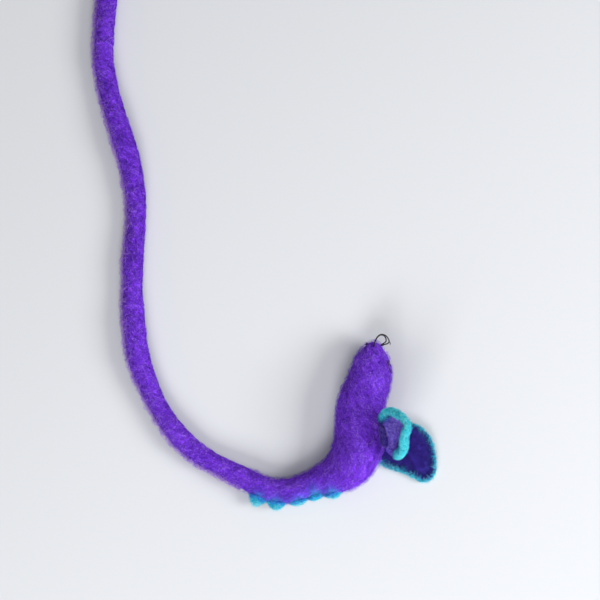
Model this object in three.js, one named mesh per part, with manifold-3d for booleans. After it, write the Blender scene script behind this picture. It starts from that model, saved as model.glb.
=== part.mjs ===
// Wool mouse cat toy, felted by hand, with a long rope tail. It lies on its right side.
//
// A wool core fills a felted skin that bends along a spine in the floor's plane. Two round
// ears hinge at their soft roots, thread stitches mark the face, a row of felt scallops runs
// down the back, and the tail is one thick felt rope.
// Millimetres, +Z up. The origin is on the floor under the widest part of the body.

import * as THREE from 'three';
import { mergeVertices } from 'three/addons/utils/BufferGeometryUtils.js';
import Module from 'manifold-3d';

const wasm = await Module();
wasm.setup();
const { clamp, degToRad, lerp, radToDeg, smoothstep } = THREE.MathUtils;

// Wherever two pieces touch, this much room is left between them.
const clearance = 0.3;

// A cut reaches this far, past every end of the toy.
const cutReach = 900;

// Body: a skin of even thickness over a core. Its soft underside is pressed flat.
const bodyLength = 190;
const bodyRadius = 18.4;
const snoutLength = 18;
const skinThickness = 3;
const settleDepth = 0.5;
const bodySides = 20;
const snoutRings = 6;
const bodyRings = 26;
const widestShare = 0.42;
const snoutSwellShare = 0.55;
const taperShares = [0.46, 0.76];

// The spine leaves the nose on this heading, in degrees from +X, and makes three smooth bends.
const noseHeading = -108;
const bendShares = [
  { from: 0.17, to: 0.33, turn: 18 },
  { from: 0.365, to: 0.648, turn: -69 },
  { from: 0.728, to: 0.962, turn: -48 },
];
const spineSteps = 200;

// Tail: one felt rope, which starts at the end of the body. Its route is laid by hand, and its
// points are counted from there.
const tailDiameter = 18;
const tailSides = 12;
const tailSteps = 24;
const tailRoute = [
  [-13.3, 6.4], [-30.6, 15], [-47.4, 28], [-61, 44], [-71.8, 60.5], [-79.2, 77.5],
  [-85.2, 94.5], [-89, 118.5], [-91, 143.5], [-91, 170.5], [-89.4, 198.5], [-88.8, 222.5],
  [-91.8, 246.5], [-97.6, 267.5], [-104.4, 288], [-110.6, 308.5], [-114.2, 328.5],
  [-114.7, 348.5], [-113.2, 369.5], [-111.7, 388.5], [-110.2, 407.5], [-105.7, 428.5],
  [-96.2, 448.5], [-81.7, 465], [-63.2, 476], [-42.2, 479.5], [-21.7, 475.5], [-3.2, 464.5],
  [10.3, 448], [17.8, 428], [19.3, 406.5],
];

// Ears: a thin dished petal inside a thick round rim, on a soft root that flexes. A root is
// slanted round the body from its nose end down, and an ear lifts from the floor, in degrees.
const earWidth = 41.4;
const earHeight = 45.5;
const rimThickness = 6.4;
const rimSides = 8;
const rimSteps = 22;
const petalThickness = 3;
const petalColumns = 10;
const petalRows = 8;
const leftRootAngle = 30;

// Points of each ear's edge, from its end at the nose to its end at the tail: along the root,
// outwards and off its plane, as shares of the ear's width and height and the rim's thickness.
// The rim follows them up to a point of its own, and from there the petal's edge is bare.
const leftEdgeShares = [
  [-0.27, -0.01, 0], [-0.37, 0.06, 0], [-0.475, 0.185, 0], [-0.558, 0.36, 0], [-0.568, 0.571, 0.03],
  [-0.505, 0.77, 0.06], [-0.4, 0.866, 0.18], [-0.266, 0.805, 0.41], [-0.12, 0.725, 0.44],
  [-0.017, 0.688, 0.36], [0.101, 0.633, 0.27], [0.246, 0.47, 0.1], [0.35, 0.32, 0],
  [0.4, 0.155, 0], [0.35, 0, 0],
];
const rightEdgeShares = [
  [-0.25, 0, 0], [-0.37, 0.13, 0], [-0.425, 0.31, 0], [-0.42, 0.51, 0], [-0.34, 0.7, 0],
  [-0.17, 0.85, 0], [0.04, 0.93, 0], [0.26, 0.965, 0], [0.46, 0.955, 0], [0.54, 0.86, 0],
  [0.485, 0.7, 0], [0.425, 0.52, 0], [0.39, 0.34, 0], [0.34, 0.16, 0], [0.25, 0, 0],
];
const leftEar = {
  placeShare: 0.385, slantAngle: 22, liftAngle: 60, dish: 6, edgeShares: leftEdgeShares, rimPoints: 13,
};
const rightEar = {
  placeShare: 0.422, slantAngle: 0, liftAngle: 0, dish: -1.8, edgeShares: rightEdgeShares, rimPoints: 15,
};

// Crest: scallops along the back, each at a distance from the body's end. They are placed and
// made by eye, so they vary.
const crestPlaces = [15, 27.4, 42.2, 56, 69.5];
const scallopWidth = 13;
const scallopHeight = 7.6;
const scallopThickness = 4.8;
const scallopEdge = 1.5;
const scallopRoot = 3;
const scallopSegments = 10;
const scallopHeightShares = [1, 0.8, 0.45, 0.4, 0.6];

// Thread: waxed cotton, stitched through the felt.
const threadThickness = 1.2;
const threadSides = 6;
const loopSteps = 22;
const loopWidth = 11;
const loopHeight = 7.3;
const loopRise = 8;
const knotRadius = 1.8;
const knotSegments = 8;
const noseKnot = { distance: 4, angle: 165 };
const eyeDistance = 15.3;
const eyeAngle = 22;
const eyeSlantAngle = 45;
const eyeLength = 9.6;
const eyeHeight = 4.4;
const eyeOpening = 24;

// Points of each whisker loop, from root to root: across the snout, forwards and upwards,
// as shares of the loop's width, height and rise.
const longLoopShares = [
  [-0.26, -0.6, 0.8], [-0.29, 0.1, 1.16], [-0.22, 0.7, 1.2], [-0.05, 1.05, 1.14], [0.19, 1.14, 1],
  [0.46, 1, 0.78], [0.69, 0.64, 0.6], [0.65, 0.37, 0.48], [0.43, 0.14, 0.32], [0.1, -0.3, 0.1],
];
const shortLoopShares = [
  [-0.24, -0.6, 0.56], [-0.27, 0.12, 0.88], [-0.2, 0.68, 0.9], [-0.04, 0.99, 0.84], [0.18, 1.05, 0.7],
  [0.38, 0.86, 0.48], [0.48, 0.52, 0.28], [0.34, 0.2, 0.12], [-0.02, -0.3, -0.04],
];

const tailRadius = tailDiameter / 2;
const rimRadius = rimThickness / 2;
const threadRadius = threadThickness / 2;
const up = new THREE.Vector3(0, 0, 1);

const purpleFelt = { color: 0x6a33c0, roughness: 0.95, metalness: 0 };
const corePurple = { color: 0x8a6fc4, roughness: 1, metalness: 0 };
const turquoiseFelt = { color: 0x35b6ca, roughness: 0.95, metalness: 0 };
const blackThread = { color: 0x17131a, roughness: 0.6, metalness: 0 };

// Solids

// A closed geometry as a solid: shared corners are merged, and the triangles that a pole
// squeezes to a line are left out.
function toSolid(geometry) {
  const bare = geometry.clone();
  bare.deleteAttribute('normal');
  bare.deleteAttribute('uv');
  const merged = mergeVertices(bare);
  const kept = [];
  for (let i = 0; i < merged.index.count; i += 3) {
    const [a, b, c] = merged.index.array.slice(i, i + 3);
    if (a !== b && b !== c && c !== a) kept.push(a, b, c);
  }
  return new wasm.Manifold(new wasm.Mesh({
    numProp: 3,
    vertProperties: merged.attributes.position.array,
    triVerts: new Uint32Array(kept),
  }));
}

function toGeometry(solid) {
  const mesh = solid.getMesh();
  const geometry = new THREE.BufferGeometry();
  geometry.setAttribute('position', new THREE.BufferAttribute(mesh.vertProperties, 3));
  geometry.setIndex(new THREE.BufferAttribute(mesh.triVerts, 1));
  geometry.computeVertexNormals();
  return geometry;
}

// What is left of a piece once its neighbours are cut out of it. The neighbours are given in
// the toy's frame, and place is the matrix that carries the piece there.
function cutClear(geometry, place, neighbours) {
  const intoPiece = place.clone().invert();
  let solid = toSolid(geometry);
  for (const neighbour of neighbours) {
    solid = solid.subtract(toSolid(neighbour.clone().applyMatrix4(intoPiece)));
  }
  return toGeometry(solid);
}

// Everything under the floor's plane, as one block.
const underFloor = new THREE.BoxGeometry(cutReach, cutReach, cutReach).translate(0, 0, -cutReach / 2);

function addPiece(parent, name, geometry, felt, place = new THREE.Matrix4()) {
  const mesh = new THREE.Mesh(geometry, new THREE.MeshStandardMaterial(felt));
  mesh.name = name;
  mesh.applyMatrix4(place);
  parent.add(mesh);
}

// Spine and skin

function headingAt(share) {
  const turned = bendShares.reduce(
    (sum, { from, to, turn }) => sum + turn * smoothstep(share, from, to), 0);
  return degToRad(noseHeading + turned);
}

// The skin's radius: the snout swells to the widest place, then tapers to the tail's radius.
function radiusAt(share) {
  const rise = Math.sin(Math.min(share / widestShare, 1) * Math.PI / 2);
  const swell = snoutSwellShare + (1 - snoutSwellShare) * rise;
  const taper = 1 - smoothstep(share, ...taperShares);
  return tailRadius + (bodyRadius - tailRadius) * swell * taper;
}

// The toy lies on its widest place and on all that tapers behind it.
function spineHeightAt(share) {
  return radiusAt(Math.max(share, widestShare)) - settleDepth;
}

// Points along the spine, added up in even steps, with the widest place over the origin.
const spinePoints = [new THREE.Vector2()];
for (let step = 0; step < spineSteps; step += 1) {
  const heading = headingAt((step + 1 / 2) / spineSteps);
  const stride = new THREE.Vector2(Math.cos(heading), Math.sin(heading));
  const previous = spinePoints[step];
  spinePoints.push(previous.clone().addScaledVector(stride, bodyLength / spineSteps));
}

function walkTo(share) {
  const place = clamp(share, 0, 1) * spineSteps;
  const step = Math.min(Math.floor(place), spineSteps - 1);
  return spinePoints[step].clone().lerp(spinePoints[step + 1], place - step);
}

const originOffset = walkTo(widestShare);

// The spine's frame at a distance from the nose: its point, the way to the tail and the way
// out to the back. Before the nose it runs straight on.
function spineAt(distance) {
  const share = distance / bodyLength;
  const heading = headingAt(share);
  const along = new THREE.Vector3(Math.cos(heading), Math.sin(heading), 0);
  const flat = walkTo(share).sub(originOffset);
  const point = new THREE.Vector3(flat.x, flat.y, spineHeightAt(share));
  if (distance < 0) point.addScaledVector(along, distance);
  return { point, along, back: new THREE.Vector3().crossVectors(up, along) };
}

function skinRadius(distance) {
  const ahead = Math.max(1 - distance / snoutLength, 0);
  return radiusAt(distance / bodyLength) * Math.sqrt(1 - Math.min(ahead, 1) ** 2);
}

// A point at an angle round the spine, in degrees from the back upwards, off the skin.
function skinPoint(distance, angle, lift) {
  const { point, back } = spineAt(distance);
  const turn = degToRad(angle);
  const reach = skinRadius(distance) + lift;
  return point.addScaledVector(back, reach * Math.cos(turn)).addScaledVector(up, reach * Math.sin(turn));
}

// The skin's outline from the nose to the end, inset along its normal. On the snout the normal
// turns from the axis to the side.
function skinProfile(inset) {
  const profile = [];
  for (let ring = 0; ring <= snoutRings; ring += 1) {
    const turn = (ring / snoutRings) * Math.PI / 2;
    const distance = snoutLength * (1 - Math.cos(turn));
    const radius = skinRadius(distance) - inset * Math.sin(turn);
    profile.push(new THREE.Vector2(ring === 0 ? 0 : radius, distance + inset * Math.cos(turn)));
  }
  for (let ring = 1; ring <= bodyRings; ring += 1) {
    const distance = lerp(snoutLength, bodyLength, ring / bodyRings);
    profile.push(new THREE.Vector2(skinRadius(distance) - inset, distance));
  }
  return profile;
}

// Turns a profile round an axis, closes it, and bends the axis along the spine.
function bentLathe(profile) {
  const lathe = new THREE.LatheGeometry(profile, bodySides);
  lathe.deleteAttribute('normal');
  lathe.deleteAttribute('uv');
  const bent = mergeVertices(lathe);
  const corner = new THREE.Vector3();
  for (let i = 0; i < bent.attributes.position.count; i += 1) {
    corner.fromBufferAttribute(bent.attributes.position, i);
    const { point, back } = spineAt(corner.y);
    point.addScaledVector(up, corner.x).addScaledVector(back, corner.z);
    bent.attributes.position.setXYZ(i, point.x, point.y, point.z);
  }
  return bent;
}

// A full form: the profile is closed on the axis at its far end.
function fullForm(inset) {
  const profile = skinProfile(inset);
  profile.push(new THREE.Vector2(0, profile.at(-1).y));
  return bentLathe(profile);
}

const bodyAndRoom = fullForm(-clearance);
const toyFrame = new THREE.Matrix4();

function bodyShell() {
  const wall = [...skinProfile(0), ...skinProfile(skinThickness).reverse()];
  return cutClear(bentLathe(wall), toyFrame, [underFloor]);
}

function bodyCore() {
  return toGeometry(toSolid(fullForm(skinThickness + clearance)));
}

// Tail

// A tube of a regular section along a curve, with flat ends.
function tube(curve, radius, sides, steps) {
  const section = new THREE.Shape();
  for (let side = 0; side < sides; side += 1) {
    const angle = (side + 1 / 2) * 2 * Math.PI / sides;
    const corner = [radius * Math.cos(angle), radius * Math.sin(angle)];
    if (side === 0) section.moveTo(...corner);
    else section.lineTo(...corner);
  }
  section.closePath();
  return new THREE.ExtrudeGeometry(section, { steps, extrudePath: curve });
}

function tailTube(room) {
  const { point: mouth, along } = spineAt(bodyLength);
  const start = mouth.clone().addScaledVector(along, clearance - room);
  const laid = tailRoute.map(([x, y]) => mouth.clone().add(new THREE.Vector3(x, y, 0)));
  const route = new THREE.CatmullRomCurve3([start, ...laid], false, 'centripetal');
  return tube(route, tailRadius + room, tailSides, tailSteps);
}

const tailAndRoom = tailTube(clearance);

function tailRope() {
  return cutClear(tailTube(0), toyFrame, [underFloor]);
}

// Ears
// In an ear's own frame X runs along its root towards the tail, Y out to its tip, and Z out of
// its hollow face. The root flexes about X.

function edgeCurve(edgeShares) {
  const points = edgeShares.map(([across, outwards, off]) => new THREE.Vector3(
    across * earWidth, outwards * earHeight, off * rimThickness));
  return new THREE.CatmullRomCurve3(points, false, 'centripetal');
}

// The rim is a round tube with round ends, which turn in the room left for them.
function earRim({ edgeShares, rimPoints }, room) {
  const curve = edgeCurve(edgeShares.slice(0, rimPoints));
  let solid = toSolid(tube(curve, rimRadius + room, rimSides, rimSteps));
  for (const end of [0, 1]) {
    const ball = new THREE.SphereGeometry(rimRadius + room, rimSides, rimSides);
    const { x, y, z } = curve.getPoint(end);
    solid = solid.add(toSolid(ball.translate(x, y, z)));
  }
  return toGeometry(solid);
}

// How far off its plane an ear lies at a place: its edge's own offsets, weighted by nearness.
function offPlane(edge, x, y) {
  let [offsets, weights] = [0, 0];
  for (const point of edge) {
    const weight = 1 / Math.max((point.x - x) ** 2 + (point.y - y) ** 2, clearance ** 2);
    offsets += weight * point.z;
    weights += weight;
  }
  return offsets / weights;
}

// A slab over all that an edge holds, hollowed towards its middle.
function dishedSlab(edge, dish) {
  const bounds = new THREE.Box3().setFromPoints(edge);
  const middle = bounds.getCenter(new THREE.Vector3());
  const size = bounds.getSize(new THREE.Vector3());
  const slab = new THREE.BoxGeometry(size.x, size.y, petalThickness, petalColumns, petalRows, 1);
  const places = slab.attributes.position;
  for (let i = 0; i < places.count; i += 1) {
    const across = 2 * places.getX(i) / size.x;
    const outwards = 2 * places.getY(i) / size.y;
    const hollow = Math.max(1 - across ** 2 - outwards ** 2, 0);
    const off = offPlane(edge, middle.x + places.getX(i), middle.y + places.getY(i));
    places.setZ(i, places.getZ(i) + off - dish * hollow);
  }
  return slab.translate(middle.x, middle.y, 0);
}

// The petal fills the edge, and its root is a soft roll along the hinge line.
function earPetal(ear) {
  const edge = edgeCurve(ear.edgeShares).getPoints(rimSteps);
  const outline = edge.map(({ x, y }) => new THREE.Vector2(x, y));
  const cutter = new THREE.ExtrudeGeometry(new THREE.Shape(outline), {
    depth: 2 * earHeight,
    bevelEnabled: false,
  });
  cutter.translate(0, 0, -earHeight);
  const [rootStart, rootEnd] = [outline[0].x, outline.at(-1).x];
  const rollLength = rootEnd - rootStart - rimThickness - 2 * clearance;
  const roll = new THREE.CylinderGeometry(rimRadius, rimRadius, rollLength, rimSides);
  roll.rotateZ(Math.PI / 2).translate((rootStart + rootEnd) / 2, 0, 0);
  const petal = toSolid(dishedSlab(edge, ear.dish)).intersect(toSolid(cutter)).add(toSolid(roll));
  return toGeometry(petal.subtract(toSolid(earRim(ear, clearance))));
}

// The root's roll clears the skin, and the ear stands out from it at its lift.
function earPlace({ placeShare, slantAngle, liftAngle }, rootAngle) {
  const distance = placeShare * bodyLength;
  const { along, back } = spineAt(distance);
  const [turn, rise, slope] = [rootAngle, liftAngle, slantAngle].map(degToRad);
  const down = back.clone().multiplyScalar(Math.sin(turn)).addScaledVector(up, -Math.cos(turn));
  const root = along.clone().multiplyScalar(Math.cos(slope)).addScaledVector(down, Math.sin(slope));
  const raised = back.clone().multiplyScalar(Math.cos(rise)).addScaledVector(up, Math.sin(rise));
  const face = new THREE.Vector3().crossVectors(root, raised).normalize();
  const out = new THREE.Vector3().crossVectors(face, root);
  const middle = skinPoint(distance, rootAngle, clearance + rimRadius);
  return new THREE.Matrix4().makeBasis(root, out, face).setPosition(middle);
}

function addEar(toy, side, ear, rootAngle) {
  const place = earPlace(ear, rootAngle);
  const group = new THREE.Group();
  group.applyMatrix4(place);
  addPiece(group, `ear_${side}_petal`, cutClear(earPetal(ear), place, [bodyAndRoom]), purpleFelt);
  addPiece(group, `ear_${side}_rim`, cutClear(earRim(ear, 0), place, [bodyAndRoom]), turquoiseFelt);
  toy.add(group);
}

// The right ear is pressed flat between the body and the floor, so its rim rests there.
function rightRootAngle() {
  const drop = spineHeightAt(rightEar.placeShare) - rimRadius - clearance;
  const reach = radiusAt(rightEar.placeShare) + clearance + rimRadius;
  return -radToDeg(Math.asin(drop / reach));
}

// Crest

// A flat half oval with rounded edges, rooted on the skin and standing out from the back.
function scallop(heightShare) {
  const outline = new THREE.Shape();
  const height = scallopHeight * heightShare;
  outline.moveTo(-scallopWidth / 2, -scallopRoot);
  outline.lineTo(scallopWidth / 2, -scallopRoot);
  outline.lineTo(scallopWidth / 2, 0);
  outline.absellipse(0, 0, scallopWidth / 2, height, 0, Math.PI, false, 0);
  outline.closePath();
  const flat = scallopThickness - 2 * scallopEdge;
  const petal = new THREE.ExtrudeGeometry(outline, {
    depth: flat,
    bevelThickness: scallopEdge,
    bevelSize: scallopEdge,
    bevelOffset: -scallopEdge,
    bevelSegments: 2,
    curveSegments: scallopSegments,
  });
  return petal.translate(0, 0, -flat / 2);
}

function addCrest(toy) {
  crestPlaces.forEach((fromEnd, index) => {
    const distance = bodyLength - fromEnd;
    const { along, back } = spineAt(distance);
    const place = new THREE.Matrix4().makeBasis(along, back, new THREE.Vector3().crossVectors(along, back));
    place.setPosition(skinPoint(distance, 0, 0));
    const piece = cutClear(scallop(scallopHeightShares[index]), place, [bodyAndRoom, tailAndRoom]);
    addPiece(toy, `crest_scallop_${index + 1}`, piece, turquoiseFelt, place);
  });
}

// Face

// A whisker loop is rooted inside the snout at both ends, and the skin cuts it clear.
function whiskerLoop(loopShares) {
  const { point: tip, along, back } = spineAt(0);
  const points = loopShares.map(([across, forwards, rise]) => tip.clone()
    .addScaledVector(back, across * loopWidth)
    .addScaledVector(along, -forwards * loopHeight)
    .addScaledVector(up, rise * loopRise));
  const curve = new THREE.CatmullRomCurve3(points, false, 'centripetal');
  return cutClear(tube(curve, threadRadius, threadSides, loopSteps), toyFrame, [bodyAndRoom]);
}

function knotAt(distance, angle, radius) {
  const { x, y, z } = skinPoint(distance, angle, clearance);
  return new THREE.SphereGeometry(radius, knotSegments, knotSegments).translate(x, y, z);
}

// An eye is a slanted oval of thread on the skin, tied with a knot at its end towards the nose.
// The oval's own ways run along it, from the knot down to the tail, and across it to the top.
function eye(side) {
  const slant = degToRad(eyeSlantAngle);
  const place = (along, across) => {
    const rise = across * Math.cos(slant) - along * Math.sin(slant);
    const distance = eyeDistance + along * Math.cos(slant) + across * Math.sin(slant);
    return [distance, side * (eyeAngle + radToDeg(rise / skinRadius(eyeDistance)))];
  };
  const points = [];
  for (let step = 0; step <= loopSteps; step += 1) {
    const turn = degToRad(lerp(eyeOpening / 2, 360 - eyeOpening / 2, step / loopSteps));
    const [distance, angle] = place(-eyeLength / 2 * Math.cos(turn), eyeHeight / 2 * Math.sin(turn));
    points.push(skinPoint(distance, angle, clearance + threadRadius));
  }
  const curve = new THREE.CatmullRomCurve3(points);
  const knot = knotAt(...place(-eyeLength / 2, 0), threadThickness);
  const thread = toSolid(tube(curve, threadRadius, threadSides, loopSteps)).add(toSolid(knot));
  return cutClear(toGeometry(thread), toyFrame, [bodyAndRoom]);
}

// Assembly

const toy = new THREE.Group();
toy.name = 'wool_mouse';
addPiece(toy, 'body_shell', bodyShell(), purpleFelt);
addPiece(toy, 'body_core', bodyCore(), corePurple);
addEar(toy, 'left', leftEar, leftRootAngle);
addEar(toy, 'right', rightEar, rightRootAngle());
addCrest(toy);
addPiece(toy, 'eye_left', eye(1), blackThread);
addPiece(toy, 'eye_right', eye(-1), blackThread);
const knot = knotAt(noseKnot.distance, noseKnot.angle, knotRadius);
addPiece(toy, 'nose_knot', cutClear(knot, toyFrame, [bodyAndRoom]), blackThread);
addPiece(toy, 'whisker_loop_long', whiskerLoop(longLoopShares), blackThread);
addPiece(toy, 'whisker_loop_short', whiskerLoop(shortLoopShares), blackThread);
addPiece(toy, 'tail_rope', tailRope(), purpleFelt);

export default toy;
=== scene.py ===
import math

import bpy
import numpy as np
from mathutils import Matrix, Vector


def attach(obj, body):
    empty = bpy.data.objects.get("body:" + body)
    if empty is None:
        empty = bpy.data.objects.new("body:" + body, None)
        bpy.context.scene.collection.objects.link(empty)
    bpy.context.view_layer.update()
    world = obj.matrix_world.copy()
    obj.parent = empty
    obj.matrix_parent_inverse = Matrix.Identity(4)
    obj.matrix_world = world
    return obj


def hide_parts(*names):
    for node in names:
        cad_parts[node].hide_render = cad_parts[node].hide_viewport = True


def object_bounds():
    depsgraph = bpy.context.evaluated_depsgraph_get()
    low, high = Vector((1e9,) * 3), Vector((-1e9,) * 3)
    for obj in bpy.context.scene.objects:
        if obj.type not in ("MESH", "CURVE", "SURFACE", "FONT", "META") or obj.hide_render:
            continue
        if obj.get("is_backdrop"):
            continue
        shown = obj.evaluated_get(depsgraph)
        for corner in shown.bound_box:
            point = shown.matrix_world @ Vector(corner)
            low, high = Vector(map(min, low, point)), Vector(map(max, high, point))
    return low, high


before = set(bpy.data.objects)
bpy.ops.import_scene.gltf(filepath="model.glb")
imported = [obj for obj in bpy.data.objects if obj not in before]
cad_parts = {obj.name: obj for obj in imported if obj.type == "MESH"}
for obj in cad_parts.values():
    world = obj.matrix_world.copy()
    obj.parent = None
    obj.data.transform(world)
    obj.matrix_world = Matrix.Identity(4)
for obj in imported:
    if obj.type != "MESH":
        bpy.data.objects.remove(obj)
cad_low, cad_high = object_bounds()

# Camera. It looks straight down at the toy, which lies on its side on the floor, so that the
# picture's width covers 480 mm of the floor.
MM = 0.001
FRAME_PX = 600
PX = 0.8 * MM
ORIGIN_PX = (358.9, 440.7)
CAMERA_HEIGHT = 2600 * MM
SENSOR_MM = 36

camera_data = bpy.data.cameras.new("overhead")
camera_data.sensor_width = SENSOR_MM
camera_data.lens = SENSOR_MM * CAMERA_HEIGHT / (FRAME_PX * PX)
camera = bpy.data.objects.new("overhead", camera_data)
camera.location = ((FRAME_PX / 2 - ORIGIN_PX[0]) * PX, (ORIGIN_PX[1] - FRAME_PX / 2) * PX, CAMERA_HEIGHT)
bpy.context.scene.collection.objects.link(camera)
bpy.context.scene.camera = camera
bpy.context.scene.view_settings.view_transform = "Standard"

# Spine. A line through the middle of the body runs from the nose to the mouth where the tail
# starts. It lies as high above the floor as the body is thick, less the pressed underside.
UP = np.array([0.0, 0.0, 1.0])
BODY_LENGTH = 190 * MM
BODY_RADIUS = 18.4 * MM
SNOUT_LENGTH = 18 * MM
TAIL_RADIUS = 9 * MM
SETTLE_DEPTH = 0.5 * MM
WIDEST_SHARE = 0.42
SNOUT_SWELL_SHARE = 0.55
TAPER_SHARES = (0.46, 0.76)
NOSE_HEADING = -108
BEND_SHARES = ((0.17, 0.33, 18), (0.365, 0.648, -69), (0.728, 0.962, -48))
SPINE_STEPS = 200
# How far the head leans to the back, as bell curves: each one's place, width and height.
LEANS = ((0, 7 * MM, -2.3 * MM), (29 * MM, 15 * MM, 2 * MM))


def smooth_step(value, low, high):
    """3t² - 2t³, where t is how far value lies from low to high, held between 0 and 1."""
    t = np.clip((value - low) / (high - low), 0, 1)
    return t * t * (3 - 2 * t)


def bell(value, spread):
    """The bell curve exp(-(value / spread)²), which is 1 where value is 0."""
    return np.exp(-((value / spread) ** 2))


def heading_at(share):
    """The nose's heading plus each bend's turn times its smooth step, as radians from +X."""
    turned = sum(turn * smooth_step(share, low, high) for low, high, turn in BEND_SHARES)
    return np.radians(NOSE_HEADING + turned)


def ways_at(heading):
    """The unit way to the tail, (cos, sin, 0), and the way to the back, square to it and level."""
    along = np.stack([np.cos(heading), np.sin(heading), np.zeros_like(heading)], -1)
    return along, np.cross(UP, along)


def body_radius(distance):
    """Tail radius plus the swell: 0.55 + 0.45 sin up to the widest place, times the smooth taper."""
    share = distance / BODY_LENGTH
    rise = np.sin(np.minimum(share / WIDEST_SHARE, 1) * math.pi / 2)
    swell = SNOUT_SWELL_SHARE + (1 - SNOUT_SWELL_SHARE) * rise
    return TAIL_RADIUS + (BODY_RADIUS - TAIL_RADIUS) * swell * (1 - smooth_step(share, *TAPER_SHARES))


spine_shares = np.arange(SPINE_STEPS + 1) / SPINE_STEPS
strides = ways_at(heading_at(spine_shares[1:] - 0.5 / SPINE_STEPS))[0] * BODY_LENGTH / SPINE_STEPS
spine_line = np.vstack([np.zeros(3), np.cumsum(strides, axis=0)])
spine_line -= spine_line[round(WIDEST_SHARE * SPINE_STEPS)]


def spine_at(distance):
    """Centre, way to the tail and way to the back. The centre is interpolated in the summed strides,
    straight on past both ends and moved by the leans, at the height of the radius there less the
    settle depth."""
    distance = np.asarray(distance, float)
    within = np.clip(distance, 0, BODY_LENGTH)
    share = within / BODY_LENGTH
    along, back = ways_at(heading_at(share))
    centre = np.stack([np.interp(share, spine_shares, spine_line[:, axis]) for axis in range(3)], -1)
    lean = sum(reach * bell(within - place, width) for place, width, reach in LEANS)
    height = body_radius(np.maximum(within, WIDEST_SHARE * BODY_LENGTH)) - SETTLE_DEPTH
    centre = centre + along * (distance - within)[..., None] + back * lean[..., None] + UP * height[..., None]
    return centre, along, back


# Tail. One long rope of purple wool, felted by hand in one piece with the body. It lies loose on
# the floor, thick and slightly lumpy, and its end is rounded off by the felting.
TAIL_START = 0.1 * MM
TAIL_END_LENGTH = 8 * MM
# The felt's own thickness with the wool that lies on it.
TAIL_RINGS = 720
TAIL_COLUMNS = 84
END_RINGS = 10
REST_GAP = 0.05 * MM
ROUTE_STEPS = 16
TAIL_ROUTE = MM * np.array([
    [-13.3, 6.4], [-30.6, 15], [-47.4, 28], [-61, 44], [-71.8, 60.5], [-79.2, 77.5],
    [-85.2, 94.5], [-89, 118.5], [-91, 143.5], [-91, 170.5], [-89.4, 198.5], [-88.8, 222.5],
    [-91.8, 246.5], [-97.6, 267.5], [-104.4, 288], [-110.6, 308.5], [-114.2, 328.5],
    [-114.7, 348.5], [-113.2, 369.5], [-111.7, 388.5], [-110.2, 407.5], [-105.7, 428.5],
    [-96.2, 448.5], [-81.7, 465], [-63.2, 476], [-42.2, 479.5], [-21.7, 475.5], [-3.2, 464.5],
    [10.3, 448], [17.8, 428], [19.3, 406.5],
])
# How thick the felt is at a distance from the nose, as shares of its usual thickness.
GIRTH_DISTANCES = MM * np.array([
    0, 120, 138, 150, 172, 190, 205, 220, 235, 250, 265, 280, 295, 310, 325, 340, 355, 370, 385, 400,
    415, 445, 460, 475, 490, 505, 520, 535, 550, 565, 580, 595, 640, 720, 900])
GIRTH_SHARES = (
    1, 1, 1.03, 1.02, 0.95, 0.88, 0.8, 0.79, 0.82, 0.85, 0.82, 0.8, 0.82, 0.88, 0.94, 0.92, 0.9, 0.82,
    0.82, 0.8, 0.76, 0.77, 0.83, 0.87, 0.92, 0.93, 0.85, 0.79, 0.77, 0.81, 0.79, 0.79, 0.86, 0.83, 0.84)
# How far the rope lies to the inner side of its route, at a distance from the nose.
DRIFT_DISTANCES = MM * np.array([
    190, 220, 260, 300, 340, 370, 400, 430, 450, 465, 500, 520, 540, 570, 600, 900])
DRIFTS = MM * np.array([0, 0.7, 0.5, 0.8, 0.6, 1.1, 1.6, 2, 1.8, 1, 0.8, 1.4, 1.9, 1.6, 1.8, 1.8])
# How far past the mouth the rope has sunk to the floor.
DROP_DISTANCE = 40 * MM
# Lumps, dimples, nap and grain of hand-felted wool: the size of a cell and the height of each.
RELIEF = MM * np.array([[24, 0.55], [8, 0.28], [2.4, 0.17], [1.1, 0.1]])
# Ridges from rolling it: the same, how much longer than wide a cell is, and the screw's turn in
# radians per metre.
RIDGES = MM * np.array([[3.6, 0.26], [1.5, 0.36]])
RIDGE_STRETCH = 3
TAIL_TWIST = 95
# Folds across the rope: each one's distance from the mouth and its height.
FOLDS = MM * np.array([[388, 0.6], [332, 0.4], [176, 0.5], [96, 0.35], [470, 0.5]])
FOLD_WIDTH = 1.1 * MM
FOLD_WAVER = 0.9 * MM
NOISE_CELLS = 32
NOISE_SEED = 11
NOISE_TABLE = np.random.default_rng(NOISE_SEED).uniform(-1, 1, (NOISE_CELLS,) * 3)


def lattice_noise(points, cell):
    """Value noise, from -1 to 1: random numbers on a cubic lattice with that cell, which repeats
    every 32 cells, joined along each axis by 3t² - 2t³."""
    place = points / cell
    low = np.floor(place).astype(int)
    t = place - low
    t = t * t * (3 - 2 * t)
    ends = (low % NOISE_CELLS, (low + 1) % NOISE_CELLS)
    total = 0
    for corner in np.ndindex(2, 2, 2):
        index = tuple(ends[corner[axis]][..., axis] for axis in range(3))
        weight = np.prod([t[..., axis] if corner[axis] else 1 - t[..., axis] for axis in range(3)], axis=0)
        total = total + weight * NOISE_TABLE[index]
    return total


def felt_relief(points):
    """The height of the felt over its smooth form: the sum of four noises, coarse to fine."""
    return sum(height * lattice_noise(points, cell) for cell, height in RELIEF)


def rolled_ridges(distance, turn, radius, twist):
    """Ridges left by rolling the wool between the hands: noise at (distance / stretch, radius cos a,
    radius sin a), where a = turn + twist times distance, so that they run round in a long screw."""
    angle = turn + twist * distance
    place = np.stack([distance / RIDGE_STRETCH, radius * np.cos(angle), radius * np.sin(angle)], -1)
    return sum(height * lattice_noise(place, cell) for cell, height in RIDGES)


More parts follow.
